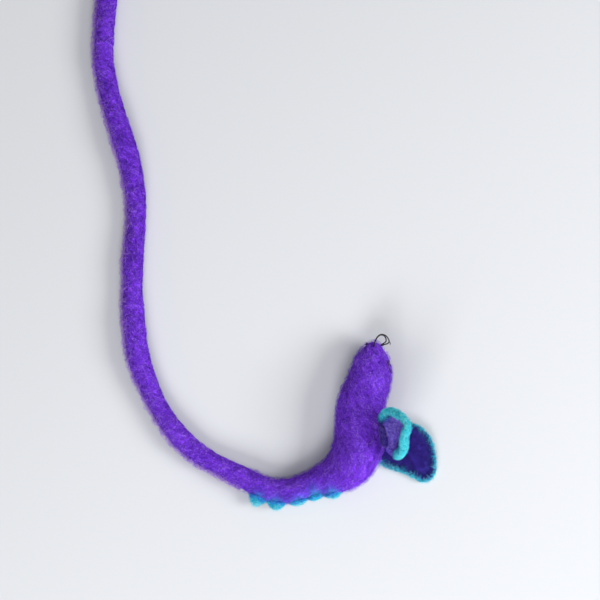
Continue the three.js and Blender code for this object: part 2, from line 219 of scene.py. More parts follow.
def folds_across(distance, turn):
    """Where the rope was bent while damp: a bell curve in distance for each fold, which wavers as
    sin 3 turn round the rope."""
    waver = FOLD_WAVER * np.sin(3 * turn)
    return sum(height * bell(distance - place + waver, FOLD_WIDTH) for place, height in FOLDS)


def felt_point(centre, along, back, radius, tilt, turn, lift):
    """centre + radius out, where out = back cos turn + up sin turn, then the relief and the lift
    along the normal = out cos tilt + along sin tilt. Nothing goes below the floor."""
    out = back * np.cos(turn)[..., None] + UP * np.sin(turn)[..., None]
    normal = out * np.cos(tilt)[..., None] + along * np.sin(tilt)[..., None]
    smooth = centre + out * radius[..., None]
    point = smooth + normal * (felt_relief(smooth) + lift)[..., None]
    point[..., 2] = np.maximum(point[..., 2], REST_GAP)
    return point


def smooth_curve(points, steps):
    """A centripetal Catmull-Rom curve: a cubic from each point to the next, whose slopes at both
    come from their neighbours, weighted by the square roots of the distances."""
    ends = np.vstack([2 * points[0] - points[1], points, 2 * points[-1] - points[-2]])
    gaps = np.sqrt(np.linalg.norm(np.diff(ends, axis=0), axis=1))[:, None]
    p0, p1, p2, p3 = ends[:-3], ends[1:-2], ends[2:-1], ends[3:]
    g0, g1, g2 = gaps[:-2], gaps[1:-1], gaps[2:]
    slope1 = g1 * ((p1 - p0) / g0 - (p2 - p0) / (g0 + g1) + (p2 - p1) / g1)
    slope2 = g1 * ((p2 - p1) / g1 - (p3 - p1) / (g1 + g2) + (p3 - p2) / g2)
    t = (np.arange(steps) / steps)[None, :, None]
    p1, p2, slope1, slope2 = (a[:, None, :] for a in (p1, p2, slope1, slope2))
    curve = (p1 + slope1 * t + (3 * (p2 - p1) - 2 * slope1 - slope2) * t**2
             + (2 * (p1 - p2) + slope1 + slope2) * t**3)
    return np.vstack([curve.reshape(-1, 3), points[-1:]])


def lengths_along(line):
    """The distance along a line of points, up to each of them."""
    return np.concatenate([[0], np.cumsum(np.linalg.norm(np.diff(line, axis=0), axis=1))])


mouth, mouth_along, _ = spine_at(BODY_LENGTH)
tail_start = mouth + TAIL_START * mouth_along
tail_places = np.vstack([tail_start, mouth + np.pad(TAIL_ROUTE, ((0, 0), (0, 1)))])
tail_line = smooth_curve(tail_places, ROUTE_STEPS)


def headings_along(line):
    """The heading of a level line at each of its points, without jumps."""
    return np.unwrap(np.arctan2(*np.gradient(line[:, :2], axis=0).T[::-1]))


def girth_share(distance):
    """The felt's own thickness at a distance from the nose, as a share of the usual one."""
    return np.interp(distance, GIRTH_DISTANCES, GIRTH_SHARES)


# The rope lies a little to the inner side, and it sinks to the floor where it is thinner.
from_nose = BODY_LENGTH + lengths_along(tail_line)
sunk_share = smooth_step(from_nose, BODY_LENGTH, BODY_LENGTH + DROP_DISTANCE)
sunk = TAIL_RADIUS * (1 - girth_share(from_nose)) * sunk_share
drift = np.interp(from_nose, DRIFT_DISTANCES, DRIFTS)
tail_line = tail_line - ways_at(headings_along(tail_line))[1] * drift[:, None] - UP * sunk[:, None]
tail_distances = lengths_along(tail_line)
tail_length = tail_distances[-1]
tail_headings = headings_along(tail_line)


def tail_at(distance):
    """Centre, way to the tip and way to the back, interpolated along the route."""
    along, back = ways_at(np.interp(distance, tail_distances, tail_headings))
    return np.stack([np.interp(distance, tail_distances, tail_line[:, i]) for i in range(3)], -1), along, back


def tail_surface(distance, turn, lift=0):
    """The rope's skin at a distance from the mouth. Its end is half an ellipsoid: radius times
    the square root of 1 - x², with the normal tilted by arcsin x."""
    centre, along, back = tail_at(distance)
    ahead = np.clip((distance - tail_length + TAIL_END_LENGTH) / TAIL_END_LENGTH, 0, 1)
    radius = TAIL_RADIUS * girth_share(distance + BODY_LENGTH) * np.sqrt(1 - ahead**2)
    ridges = rolled_ridges(distance, turn, radius, TAIL_TWIST) + folds_across(distance, turn)
    return felt_point(centre, along, back, radius, np.arcsin(ahead), turn, ridges + lift)


def new_piece(name, points, quads, triangles, **attributes):
    """A smooth mesh object of those points and faces, with a float attribute for each name."""
    mesh = bpy.data.meshes.new(name)
    corners = np.concatenate([quads.ravel(), triangles.ravel()]).astype(np.int32)
    starts = np.concatenate([4 * np.arange(len(quads)), quads.size + 3 * np.arange(len(triangles))])
    mesh.vertices.add(len(points))
    mesh.vertices.foreach_set("co", points.astype(np.float32).ravel())
    mesh.loops.add(len(corners))
    mesh.loops.foreach_set("vertex_index", corners)
    mesh.polygons.add(len(starts))
    mesh.polygons.foreach_set("loop_start", starts.astype(np.int32))
    mesh.update(calc_edges=True)
    mesh.shade_smooth()
    for key, values in attributes.items():
        column = mesh.attributes.new(key, "FLOAT", "POINT")
        column.data.foreach_set("value", values.astype(np.float32).ravel())
    piece = bpy.data.objects.new(name, mesh)
    bpy.context.scene.collection.objects.link(piece)
    return piece


def ringed_faces(count, columns, first):
    """Faces of one closed surface whose points start at first: quads from ring to ring, and a fan
    from the first and the last ring to the two middles that follow the rings."""
    ring, column = np.meshgrid(np.arange(count - 1), np.arange(columns), indexing="ij")
    after = (column + 1) % columns
    row, next_row = ring * columns, (ring + 1) * columns
    corners = (row + column, row + after, next_row + after, next_row + column)
    near, far = np.arange(columns), (count - 1) * columns + np.arange(columns)
    start, end = np.full(columns, count * columns), np.full(columns, count * columns + 1)
    fans = [np.stack([start, np.roll(near, -1), near], -1), np.stack([end, far, np.roll(far, -1)], -1)]
    return first + np.stack(corners, -1).reshape(-1, 4), first + np.concatenate(fans)


def ringed_piece(name, grids, **attributes):
    """An object of closed surfaces, each through rings of points, and each attribute given as
    one grid of values per surface."""
    points = [np.vstack([grid.reshape(-1, 3), grid[0].mean(0), grid[-1].mean(0)]) for grid in grids]
    firsts = np.cumsum([0] + [len(part) for part in points])
    faces = [ringed_faces(*grid.shape[:2], first) for grid, first in zip(grids, firsts)]
    values = {key: np.concatenate([[*grid.ravel(), grid[0].mean(), grid[-1].mean()] for grid in parts])
              for key, parts in attributes.items()}
    return new_piece(name, np.vstack(points), np.vstack([quads for quads, _ in faces]),
                     np.vstack([fans for _, fans in faces]), **values)


def turns(columns):
    """Angles evenly round a ring."""
    return np.arange(columns) * 2 * math.pi / columns


def ring_grid(rings, columns):
    """Each ring's place with each angle round it, as two arrays."""
    return np.meshgrid(rings, turns(columns), indexing="ij")


end_turns = np.arange(1, END_RINGS) / END_RINGS * math.pi / 2
tail_rings = np.concatenate([
    np.linspace(0, tail_length - TAIL_END_LENGTH, TAIL_RINGS),
    tail_length - TAIL_END_LENGTH + TAIL_END_LENGTH * np.sin(end_turns),
])
tail_felt = ringed_piece("tail_felt", [tail_surface(*ring_grid(tail_rings, TAIL_COLUMNS))])

# Wool. The felt's own fibres stand off it: most lie matted on the surface, and some rise as a
# halo. Each is modelled as a thin three-sided hair that tapers to its tip.
MATTED_WOOL = dict(length=4.4 * MM, width=0.28 * MM, lift=0.3 * MM, curl=0.9)
LOOSE_TAIL_WOOL = dict(length=7 * MM, width=0.19 * MM, curl=2, places=6)
STRANDS = dict(length=16 * MM, width=0.19 * MM, lift=0.8 * MM, curl=3, places=16)
TAIL_MATTED_COUNT = 29000
TAIL_LOOSE_COUNT = 13600
TAIL_STRAND_COUNT = 30
# The loose wool stands thickest and longest along the rope's back, and is palest there, as painted rim light
# on the halo.
LOOSE_LIFT = 0.9 * MM
BACK_LIFT = 2.4 * MM
BACK_SHARE = 0.45
BACK_SPREAD = 0.5
BACK_LIFT_SPREAD = 1.4 * BACK_SPREAD
BACK_HALO_LIGHT_SPREAD = 1.5 * BACK_SPREAD
LOOSE_TONE = 0.75
# How much a fold's height adds to the matted wool's painted shade and light.
FOLD_SHADE_SHARE = 0.8
# How pale the matted wool is, on the body and far along the rope, and how much that varies: painted shade in
# the hollows between the ridges and painted light on their tops, and a random part.
BODY_TONE = 0.58
ROPE_TONE = 0.33
ROPE_TONE_DISTANCE = 200 * MM
RIDGE_SHADE = 0.9
FIBRE_SHADE = 0.2
FIBRE_SIDES = 3
FIBRE_ARCH = 0.8
FIBRE_TAPER = 0.5
# How far one fibre's length and lift vary, as shares of what is given.
LENGTH_SHARES = (0.5, 1.4)
LIFT_SHARES = (0.3, 1.3)
GRAIN_SPREAD = 0.45
PROBE = 1e-4
TINY = 1e-12
# How many places are drawn for each fibre, so that enough are left after the thinning.
SPARE_DRAWS = 3


def unit(vectors):
    """The same ways with a length of 1."""
    return vectors / np.maximum(np.linalg.norm(vectors, axis=-1, keepdims=True), TINY)


def wool_fibres(
        name, surface, u, v, seed, length, width, lift, curl, places=3, grain=None, **attributes):
    """Hairs rooted at the surface parameters u and v, each through that many places. One sets off
    along the grain, either way, or at random, turns by its curl as it goes, rises above the surface
    by lift times sin(0.8 pi t), an arch, and thins as 1 - 0.5 t to its closed tip."""
    random = np.random.default_rng(seed)
    count = len(u)
    root = surface(u, v)
    pace_u = np.linalg.norm(surface(u + PROBE, v) - root, axis=-1) / PROBE
    pace_v = np.linalg.norm(surface(u, v + PROBE) - root, axis=-1) / PROBE
    t = np.arange(places) / (places - 1)
    size = length * random.uniform(*LENGTH_SHARES, count)
    start = random.uniform(0, 2 * math.pi, count)
    if grain is not None:
        start = grain + random.normal(0, GRAIN_SPREAD, count) + math.pi * random.integers(0, 2, count)
    heading = start[:, None] + random.normal(0, curl, count)[:, None] * t
    step = size[:, None] / (places - 1) * (t > 0)
    path_u = u[:, None] + np.cumsum(np.cos(heading) * step, 1) / pace_u[:, None]
    path_v = v[:, None] + np.cumsum(np.sin(heading) * step, 1) / pace_v[:, None]
    lifts = lift * random.uniform(*LIFT_SHARES, count)
    rise = lifts[:, None] * np.sin(FIBRE_ARCH * math.pi * t) + width / 2
    line = surface(path_u, path_v, rise)
    normal = surface(u, v, np.full(count, PROBE)) - root
    way = np.gradient(line, axis=1)
    side = unit(np.cross(way, normal[:, None, :]))
    out = unit(np.cross(way, side))
    angle = turns(FIBRE_SIDES)[None, None, :, None]
    taper = width / 2 * (1 - FIBRE_TAPER * t[:-1])[None, :, None, None]
    round_it = np.cos(angle) * side[:, :-1, None] + np.sin(angle) * out[:, :-1, None]
    rings = line[:, :-1, None] + taper * round_it
    points = np.concatenate([rings.reshape(count, -1, 3), line[:, -1:]], 1)
    each = points.shape[1]
    base = np.arange(count)[:, None, None] * each
    side_no = np.arange(FIBRE_SIDES)
    after = (side_no + 1) % FIBRE_SIDES
    rows = FIBRE_SIDES * np.arange(places - 2)[:, None]
    next_rows = rows + FIBRE_SIDES
    quads = np.stack([rows + side_no, rows + after, next_rows + after, next_rows + side_no], -1)
    last = each - 1 - FIBRE_SIDES
    tip = np.stack([last + side_no, last + after, np.full(FIBRE_SIDES, each - 1)], -1)
    triangles = np.concatenate([tip, [[2, 1, 0]]])
    values = {key: np.repeat(value, each) for key, value in attributes.items()}
    return new_piece(name, points.reshape(-1, 3), (base + quads.reshape(1, -1, 4)).reshape(-1, 4),
                     (base + triangles[None]).reshape(-1, 3), **values)


def ridge_shaded_tone(height, distance, seed):
    """How pale each fibre is, from 0 in the hollows between the ridges to 1 on their tops, which paints shade
    into the hollows and light onto the tops: a tone that falls along the rope, at a distance from its mouth,
    plus the ridges' height as a share of the most, and a random part that is normally spread."""
    random = np.random.default_rng(seed).normal(0, FIBRE_SHADE, len(height))
    middle = BODY_TONE + (ROPE_TONE - BODY_TONE) * smooth_step(distance, 0, ROPE_TONE_DISTANCE)
    return np.clip(middle + RIDGE_SHADE * height / sum(height for _, height in RIDGES) + random, 0, 1)


def scattered(count, low, high, seed, thickness=None):
    """Random distances between two places and random turns round them. Where a thickness function
    is given, a thinner place gets fewer, so that the wool is even."""
    random = np.random.default_rng(seed)
    distance = random.uniform(low, high, SPARE_DRAWS * count)
    if thickness is not None:
        girth = thickness(distance)
        distance = distance[random.uniform(0, girth.max(), len(girth)) < girth]
    return distance[:count], random.uniform(0, 2 * math.pi, min(count, len(distance)))


def linear(red, green, blue):
    """A colour written in 0 to 255, as linear light: ((c + 0.055) / 1.055) to the power 2.4."""
    shares = [value / 255 for value in (red, green, blue)]
    return (*(s / 12.92 if s <= 0.04045 else ((s + 0.055) / 1.055) ** 2.4 for s in shares), 1)


def add_node(tree, kind, **inputs):
    """A shader node whose named inputs are set, or linked where the value is another's output."""
    node = tree.nodes.new(kind)
    for key, value in inputs.items():
        socket = node.inputs[key.replace("_", " ")]
        if isinstance(value, bpy.types.NodeSocket):
            tree.links.new(value, socket)
        else:
            socket.default_value = value
    return node


def math_value(tree, operation, *values):
    """A Math node's result for those values, each a number or another node's output."""
    node = tree.nodes.new("ShaderNodeMath")
    node.operation = operation
    for socket, value in zip(node.inputs, values):
        if isinstance(value, bpy.types.NodeSocket):
            tree.links.new(value, socket)
        else:
            socket.default_value = value
    return node.outputs[0]


def noise_value(tree, cell, detail=2.0, roughness=0.5):
    """Noise on object coordinates whose cells have that size, from 0 to 1."""
    place = add_node(tree, "ShaderNodeTexCoord").outputs["Object"]
    return add_node(tree, "ShaderNodeTexNoise", Vector=place, Scale=1 / cell, Detail=detail,
                    Roughness=roughness).outputs["Fac"]


def attribute_value(tree, name):
    """A float that the mesh carries."""
    node = add_node(tree, "ShaderNodeAttribute")
    node.attribute_name = name
    return node.outputs["Fac"]


def colour_ramp(tree, value, stops):
    """The colours of stops, each given as (place, colour), faded from one to the next."""
    node = add_node(tree, "ShaderNodeValToRGB", Fac=value)
    elements = node.color_ramp.elements
    while len(elements) < len(stops):
        elements.new(1)
    for element, (place, colour) in zip(elements, stops):
        element.position, element.color = place, colour
    return node.outputs["Color"]


def mixed_colour(tree, share, first, second):
    """first where share is 0, and second where it is 1."""
    node = add_node(tree, "ShaderNodeMix")
    node.data_type = "RGBA"
    for index, value in ((0, share), (6, first), (7, second)):
        if isinstance(value, bpy.types.NodeSocket):
            tree.links.new(value, node.inputs[index])
        else:
            node.inputs[index].default_value = value
    return node.outputs[2]


def new_material(name):
    """A material with an empty tree but for its Principled shader."""
    material = bpy.data.materials.new(name)
    material.use_nodes = True
    tree = material.node_tree
    return material, tree, tree.nodes["Principled BSDF"]


def finish_wool(tree, shader, colour, sheen_tint, nap_cell=None):
    """Matt wool: rough, hardly any shine, a faint sheen, and a bump for the fibres if asked."""
    tree.links.new(colour, shader.inputs["Base Color"])
    shader.inputs["Roughness"].default_value = 0.95
    shader.inputs["Specular IOR Level"].default_value = 0.08
    shader.inputs["Sheen Weight"].default_value = 0.1
    shader.inputs["Sheen Roughness"].default_value = 0.5
    shader.inputs["Sheen Tint"].default_value = sheen_tint
    if nap_cell:
        bump = add_node(tree, "ShaderNodeBump", Strength=0.55, Distance=0.35 * MM,
                        Height=noise_value(tree, nap_cell, 4, 0.7))
        tree.links.new(bump.outputs["Normal"], shader.inputs["Normal"])


PURPLE_DARK = linear(66, 31, 154)
PURPLE = linear(125, 54, 224)
PURPLE_LIGHT = linear(154, 86, 250)
LILAC = linear(182, 132, 250)
PURPLE_STOPS = ((0, PURPLE_DARK), (0.5, PURPLE), (0.85, PURPLE_LIGHT), (1, LILAC))
LOOSE_STOPS = ((0, linear(112, 48, 200)), (0.6, linear(146, 84, 238)), (1, linear(216, 172, 234)))
CREST_STOPS = (
    (0, linear(96, 62, 214)), (0.3, linear(66, 104, 224)), (0.6, linear(44, 164, 226)),
    (1, linear(66, 210, 232)))
WOOL_SHEEN = linear(180, 140, 240)
SPECK_CELL = 1.3 * MM


def tinted(tree, base, name, stops):
    """The base colour, turned to that of the stops as the mesh's value of that name goes up to 1."""
    value = attribute_value(tree, name)
    return mixed_colour(tree, value, base, colour_ramp(tree, value, stops))


def purple_felt(name):
    """Mottled purple, which turns blue and turquoise where the mesh's crest value rises."""
    material, tree, shader = new_material(name)
    blotch, speck = noise_value(tree, 10 * MM, 3), noise_value(tree, 1.7 * MM, 4, 0.65)
    mottle = math_value(tree, "MULTIPLY_ADD", blotch, 0.45, math_value(tree, "MULTIPLY", speck, 0.55))
    base = colour_ramp(tree, mottle, ((0.34, PURPLE_DARK), (0.5, PURPLE), (0.68, PURPLE_LIGHT)))
    finish_wool(tree, shader, tinted(tree, base, "crest", CREST_STOPS), WOOL_SHEEN, 0.7 * MM)
    return material


def specked_tone(tree, contrast):
    """Each fibre's own tone, plus fine noise about 0 times the contrast, so that specks show
    through however long the fibres are."""
    noise = noise_value(tree, SPECK_CELL, 2, 0.6)
    tone = math_value(tree, "ADD", attribute_value(tree, "tone"), -contrast / 2)
    return math_value(tree, "MULTIPLY_ADD", noise, contrast, tone)


def fibre_material(name, stops, tint, contrast, tinted_by, tint_stops):
    """Fibres shaded by their specked tone, and tinted as the felt that they root in."""
    material, tree, shader = new_material(name)
    colour = colour_ramp(tree, specked_tone(tree, contrast), stops)
    finish_wool(tree, shader, tinted(tree, colour, tinted_by, tint_stops), tint)
    return material


felt_material = purple_felt("purple_felt")
matted_material = fibre_material("purple_matted_fibre", PURPLE_STOPS, WOOL_SHEEN, 2, "crest", CREST_STOPS)
loose_material = fibre_material("purple_loose_fibre", LOOSE_STOPS, WOOL_SHEEN, 0.6, "crest", CREST_STOPS)


def dress(piece, body, material):
    """Gives a piece the body that it rides on and its material."""
    piece.data.materials.append(material)
    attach(piece, body)
    return piece


dress(tail_felt, "mouse", felt_material)
half_tail = tail_length / 2
for number, (low, high) in enumerate(((0, half_tail), (half_tail, tail_length - TAIL_END_LENGTH / 2))):
    distance, turn = scattered(TAIL_MATTED_COUNT // 2, low, high, seed=21 + number)
    # Fibres in the hollows of the ridges and folds get painted shade, and those on their tops painted light.
    height = rolled_ridges(distance, turn, TAIL_RADIUS, TAIL_TWIST)
    height += FOLD_SHADE_SHARE * folds_across(distance, turn)
    matted = wool_fibres(
        f"tail_matted_wool_{number + 1}", tail_surface, distance, turn, seed=41 + number, **MATTED_WOOL,
        grain=-math.atan(TAIL_TWIST * TAIL_RADIUS), tone=ridge_shaded_tone(height, distance, seed=31 + number),
        crest=0 * turn)
    dress(matted, "mouse", matted_material)
    distance, turn = scattered(TAIL_LOOSE_COUNT // 2, low, high, seed=23 + number)
    random = np.random.default_rng(33 + number)
    on_back = random.uniform(0, 1, len(turn)) < BACK_SHARE
    turn = np.where(on_back, random.normal(0, BACK_SPREAD, len(turn)), turn)
    lift = LOOSE_LIFT + BACK_LIFT * bell(np.angle(np.exp(1j * turn)), BACK_LIFT_SPREAD)
    # The loose fibres on the back are made paler, as painted rim light along that edge of the rope.
    pale = on_back * bell(turn, BACK_HALO_LIGHT_SPREAD)
    loose = wool_fibres(
        f"tail_loose_wool_{number + 1}", tail_surface, distance, turn, seed=43 + number, **LOOSE_TAIL_WOOL,
        lift=lift, tone=random.uniform(LOOSE_TONE * pale, LOOSE_TONE + (1 - LOOSE_TONE) * pale),
        crest=0 * turn)
    dress(loose, "mouse", loose_material)
distance, turn = scattered(TAIL_STRAND_COUNT, 0, tail_length - TAIL_END_LENGTH, seed=25)
strands = wool_fibres("tail_wool_strands", tail_surface, distance, turn, seed=45, **STRANDS,
                      tone=1 + 0 * turn, crest=0 * turn)
dress(strands, "mouse", loose_material)

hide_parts("tail_rope")
tuple(mouth)

# Body. A hollow skin of the same purple felt, blunt at the snout, thickest behind the head and
# drawn out to the tail. Its crest is dyed blue and turquoise where the scallops are felted on.
SKIN_THICKNESS = 3 * MM
BODY_RINGS = 300
BODY_COLUMNS = 160
SNOUT_RINGS = 26
INNER_RINGS = 40
# The rim of the mouth, where the skin turns inwards: how deep each of its rings lies.
LIP_LIFTS = MM * np.array([-0.4, -1.2, -2.1, -2.8])
SNOUT_SLIMNESS = 0.27
SNOUT_SLIM_LENGTH = 15.5 * MM
BODY_RIDGE_SHARE = 0.8
BODY_TWIST = 45
# The dyed crest: each scallop's place from the mouth, how far the dye spreads across the back
# there and along it, how strong it still is between the scallops, and where it starts and ends.
CREST_PLACES = MM * np.array([15, 27.4, 42.2, 56, 69.5])
CREST_SPREADS = MM * np.array([10, 10, 9.5, 14, 13])
CREST_REACH = 7 * MM
CREST_BETWEEN = 0.44
CREST_START = (3 * MM, 12 * MM)
CREST_END = 14 * MM


def girth_at(distance):
    """The felt's own thickness as a share of the usual one, slimmer on the snout by a bell curve."""
    return girth_share(distance) * (1 - SNOUT_SLIMNESS * bell(distance, SNOUT_SLIM_LENGTH))


def skin_radius(distance):
    """The body's radius times the girth, and on the snout times the root of 1 - x², an ellipse."""
    ahead = np.clip(1 - distance / SNOUT_LENGTH, 0, 1)
    return body_radius(distance) * girth_at(distance) * np.sqrt(1 - ahead**2)


def body_surface(distance, turn, lift=0):
    """The skin at a distance from the nose, where the normal tilts forwards by arcsin x."""
    centre, along, back = spine_at(distance)
    ahead = np.clip(1 - distance / SNOUT_LENGTH, 0, 1)
    radius = skin_radius(np.maximum(distance, 0))
    ridges = BODY_RIDGE_SHARE * rolled_ridges(distance - BODY_LENGTH, turn, radius, BODY_TWIST)
    return felt_point(centre, along, back, radius, -np.arcsin(ahead), turn, ridges + lift)


def crest_value(distance, turn):
    """1 on the back at each scallop, fading to 0 across the back over the spread there: a bell curve
    on the arc to the back's middle, times a cosine wave that is low between the scallops."""
    across = body_radius(distance) * np.abs(np.angle(np.exp(1j * turn)))
    from_end = BODY_LENGTH - distance
    spread = np.interp(from_end, CREST_PLACES, CREST_SPREADS)
    nearest = np.min([np.abs(from_end - place) for place in CREST_PLACES], axis=0)
    wave = np.cos(np.minimum(nearest / CREST_REACH, 1) * math.pi)
    strength = (1 + CREST_BETWEEN) / 2 + (1 - CREST_BETWEEN) / 2 * wave
    past = smooth_step(from_end, CREST_PLACES[-1], CREST_PLACES[-1] + CREST_END)
    return smooth_step(from_end, *CREST_START) * (1 - past) * strength * bell(across, spread)


snout_turns = (np.arange(1, SNOUT_RINGS) / SNOUT_RINGS) * math.pi / 2
snout_rings = 1 - np.cos(snout_turns)
outer_rings = np.concatenate([SNOUT_LENGTH * snout_rings, np.linspace(SNOUT_LENGTH, BODY_LENGTH, BODY_RINGS)])
inner_rings = np.concatenate([
    np.linspace(BODY_LENGTH, SNOUT_LENGTH, INNER_RINGS), SNOUT_LENGTH * snout_rings[::-4]])
body_rings = np.concatenate([outer_rings, np.full(len(LIP_LIFTS), BODY_LENGTH), inner_rings])
ring_lifts = np.concatenate([0 * outer_rings, LIP_LIFTS, np.full(len(inner_rings), -SKIN_THICKNESS)])
grid = ring_grid(body_rings, BODY_COLUMNS)
body_felt = ringed_piece(
    "body_felt", [body_surface(*grid, ring_lifts[:, None])], crest=[crest_value(*grid)])
dress(body_felt, "mouse", felt_material)

LOOSE_BODY_WOOL = dict(length=6.5 * MM, width=0.19 * MM, lift=2.2 * MM, curl=2, places=6)
BODY_MATTED_COUNT = 17000
BODY_LOOSE_COUNT = 6900
BODY_STRAND_COUNT = 30
WOOL_START = 0.3 * MM
STRAND_ENDS = (20 * MM, BODY_LENGTH - 5 * MM)
STRAND_DYE = 0.6
# The body's loose wool is darker than the tail's, and a little paler on the head, which ends here.
BODY_LOOSE_TONE = 0.62
HEAD_TONE = 0.12
HEAD_END = (15 * MM, 60 * MM)

distance, turn = scattered(BODY_MATTED_COUNT, WOOL_START, BODY_LENGTH, seed=51, thickness=skin_radius)
# Painted shade in the ridges' hollows and painted light on their tops, as on the tail.
height = rolled_ridges(distance - BODY_LENGTH, turn, skin_radius(distance), BODY_TWIST)
matted = wool_fibres(
    "body_matted_wool", body_surface, distance, turn, seed=53, **MATTED_WOOL,
    grain=-np.arctan(BODY_TWIST * skin_radius(distance)),
    tone=ridge_shaded_tone(height, distance - BODY_LENGTH, seed=52), crest=crest_value(distance, turn))
dress(matted, "mouse", matted_material)
distance, turn = scattered(BODY_LOOSE_COUNT, WOOL_START, BODY_LENGTH, seed=54, thickness=skin_radius)
tone = np.random.default_rng(55).uniform(0, BODY_LOOSE_TONE, len(distance))
tone += HEAD_TONE * (1 - smooth_step(distance, *HEAD_END))
loose = wool_fibres("body_loose_wool", body_surface, distance, turn, seed=56, **LOOSE_BODY_WOOL,
                    tone=tone, crest=crest_value(distance, turn))
dress(loose, "mouse", loose_material)
distance, turn = scattered(BODY_STRAND_COUNT, *STRAND_ENDS, seed=57)
strands = wool_fibres("body_wool_strands", body_surface, distance, turn, seed=58, **STRANDS,
                      tone=1 + 0 * turn, crest=STRAND_DYE * crest_value(distance, turn))
dress(strands, "mouse", loose_material)

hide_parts("body_shell")

# Filling. A core of loose carded wool in pale lilac, which fills the skin from the snout to the
# mouth and gives the body its shape. The skin is felted round it, so it is fixed by that alone.
CORE_GAP = 0.3 * MM
CORE_RINGS = 120
CORE_COLUMNS = 80
CORE_END_GAP = 1.5 * MM
CORE_RELIEF_SHARE = 0.6
CORE_SINK = 0.4 * MM
CORE_STOPS = ((0.35, linear(120, 92, 176)), (0.65, linear(172, 150, 214)))
CORE_SHEEN = linear(210, 196, 236)


def core_surface(distance, turn):
    """The filling's skin, inside the felt's by its thickness and the gap."""
    centre, _, back = spine_at(distance)
    ahead = np.clip(1 - (distance - SKIN_THICKNESS) / SNOUT_LENGTH, 0, 1)
    radius = (body_radius(distance) * girth_at(distance) - SKIN_THICKNESS - CORE_GAP) * np.sqrt(1 - ahead**2)
    out = back * np.cos(turn)[..., None] + UP * np.sin(turn)[..., None]
    smooth = centre + out * radius[..., None]
    relief = CORE_RELIEF_SHARE * felt_relief(smooth + BODY_LENGTH) - CORE_SINK
    return smooth + out * relief[..., None] * (radius > 0)[..., None]


core_rings = np.concatenate([
    SKIN_THICKNESS + CORE_GAP + SNOUT_LENGTH * snout_rings,
    np.linspace(SKIN_THICKNESS + SNOUT_LENGTH + CORE_GAP, BODY_LENGTH - CORE_END_GAP, CORE_RINGS)])
core = ringed_piece("body_core_wool", [core_surface(*ring_grid(core_rings, CORE_COLUMNS))])
core_material, tree, shader = new_material("core_wool")
wisps = colour_ramp(tree, noise_value(tree, 3 * MM, 5, 0.7), CORE_STOPS)
finish_wool(tree, shader, wisps, CORE_SHEEN, 0.9 * MM)
dress(core, "mouse", core_material)
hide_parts("body_core")

# Ears. Each is a thin purple petal, hollowed like a cup, in a thick puffy turquoise rim, and it hangs on a
# soft roll of felt. The left ear stands up and the right one lies flat.
EAR_WIDTH = 41.4 * MM
EAR_HEIGHT = 45.5 * MM
RIM_RADIUS = 3.2 * MM
PETAL_THICKNESS = 3 * MM
ROOT_GAP = 0.3 * MM
# How thick the rim's felt is at a distance from its nose end, as shares of that radius.
RIM_GIRTH_DISTANCES = MM * np.array([0, 12, 38, 62])
RIM_GIRTH_SHARES = (0.56, 0.7, 0.7, 0.8)
RIM_STEPS = 16
RIM_RINGS = 250
RIM_COLUMNS = 42
PETAL_RINGS = 50
PETAL_COLUMNS = 240
PETAL_INNER_SHARE = 0.02
PETAL_FOLDS = 15
PETAL_FOLD = 0.7 * MM
PETAL_FILLET = 0.7 * MM
PETAL_THINNING = 0.6
FILLET_SHARES = (0.74, 0.95)
ROOT_RINGS = 50
ROOT_SWELL = 0.4 * MM
ROOT_END_TURN = 0.05
RIM_RELIEF_SHARE = 0.8
PETAL_RELIEF_SHARE = 0.55
ROOT_RELIEF_SHARE = 0.6
# Where the rim's turquoise wool gives way to the petal's purple: by the cosine of the turn from its inner
# side, for each back side that an ear may have, reaching further round the back of the ear that lies flat as
# partly painted shade, and over how long a stretch at its nose end, where it is painted shade against the
# body.
FADE_AND_SHADE_SHARES = {1: (-0.75, 0.15), -1: (0.2, 0.85)}
FADE_TURN = 0.35
NOSE_END_SHADE = 3.6 * RIM_RADIUS
TINT_FADE = 5 * MM
TINT_SHARES = (0.6, 0.93)
BACK_TINT = 0.3
LEFT_EDGE_SHARES = (
    (-0.27, -0.01, 0), (-0.37, 0.06, 0), (-0.475, 0.185, 0), (-0.558, 0.36, 0), (-0.568, 0.571, 0.03),
    (-0.505, 0.77, 0.06), (-0.4, 0.866, 0.18), (-0.266, 0.805, 0.41), (-0.12, 0.725, 0.44),
    (-0.017, 0.688, 0.36), (0.101, 0.633, 0.27), (0.246, 0.47, 0.1), (0.35, 0.32, 0),
    (0.4, 0.155, 0), (0.35, 0, 0),
)
RIGHT_EDGE_SHARES = (
    (-0.25, 0, 0), (-0.37, 0.13, 0), (-0.425, 0.31, 0), (-0.42, 0.51, 0), (-0.34, 0.7, 0),
    (-0.17, 0.85, 0), (0.04, 0.93, 0), (0.26, 0.965, 0), (0.46, 0.955, 0), (0.54, 0.86, 0),
    (0.485, 0.7, 0), (0.425, 0.52, 0), (0.39, 0.34, 0), (0.34, 0.16, 0), (0.25, 0, 0),
)
RIM_STOPS = (
    (0, linear(0, 122, 152)), (0.3, linear(0, 208, 232)), (0.62, linear(30, 240, 251)),
    (1, linear(140, 252, 255)))
RIM_LOOSE_STOPS = ((0, linear(10, 224, 243)), (1, linear(140, 248, 254)))
RIM_SHEEN = linear(90, 220, 245)
# The colours the rim turns to towards the petal, also used as painted shade.
RIM_FADE_AND_SHADE_STOPS = ((0, linear(30, 140, 190)), (0.5, linear(50, 76, 186)), (1, linear(58, 42, 140)))
PETAL_STOPS = ((0.3, linear(68, 50, 158)), (0.5, linear(104, 80, 200)), (0.7, linear(142, 116, 232)))
PETAL_FIBRE_STOPS = ((0, linear(78, 58, 176)), (0.6, linear(128, 102, 226)), (1, linear(186, 162, 248)))
# Painted shade: the petal's back and the root roll are darkened to these.
PETAL_BACK_SHADE_STOPS = ((0, linear(62, 44, 144)), (1, linear(50, 36, 132)))
PETAL_EDGE_STOPS = ((0, linear(84, 70, 176)), (0.5, linear(58, 84, 196)), (1, linear(38, 142, 196)))

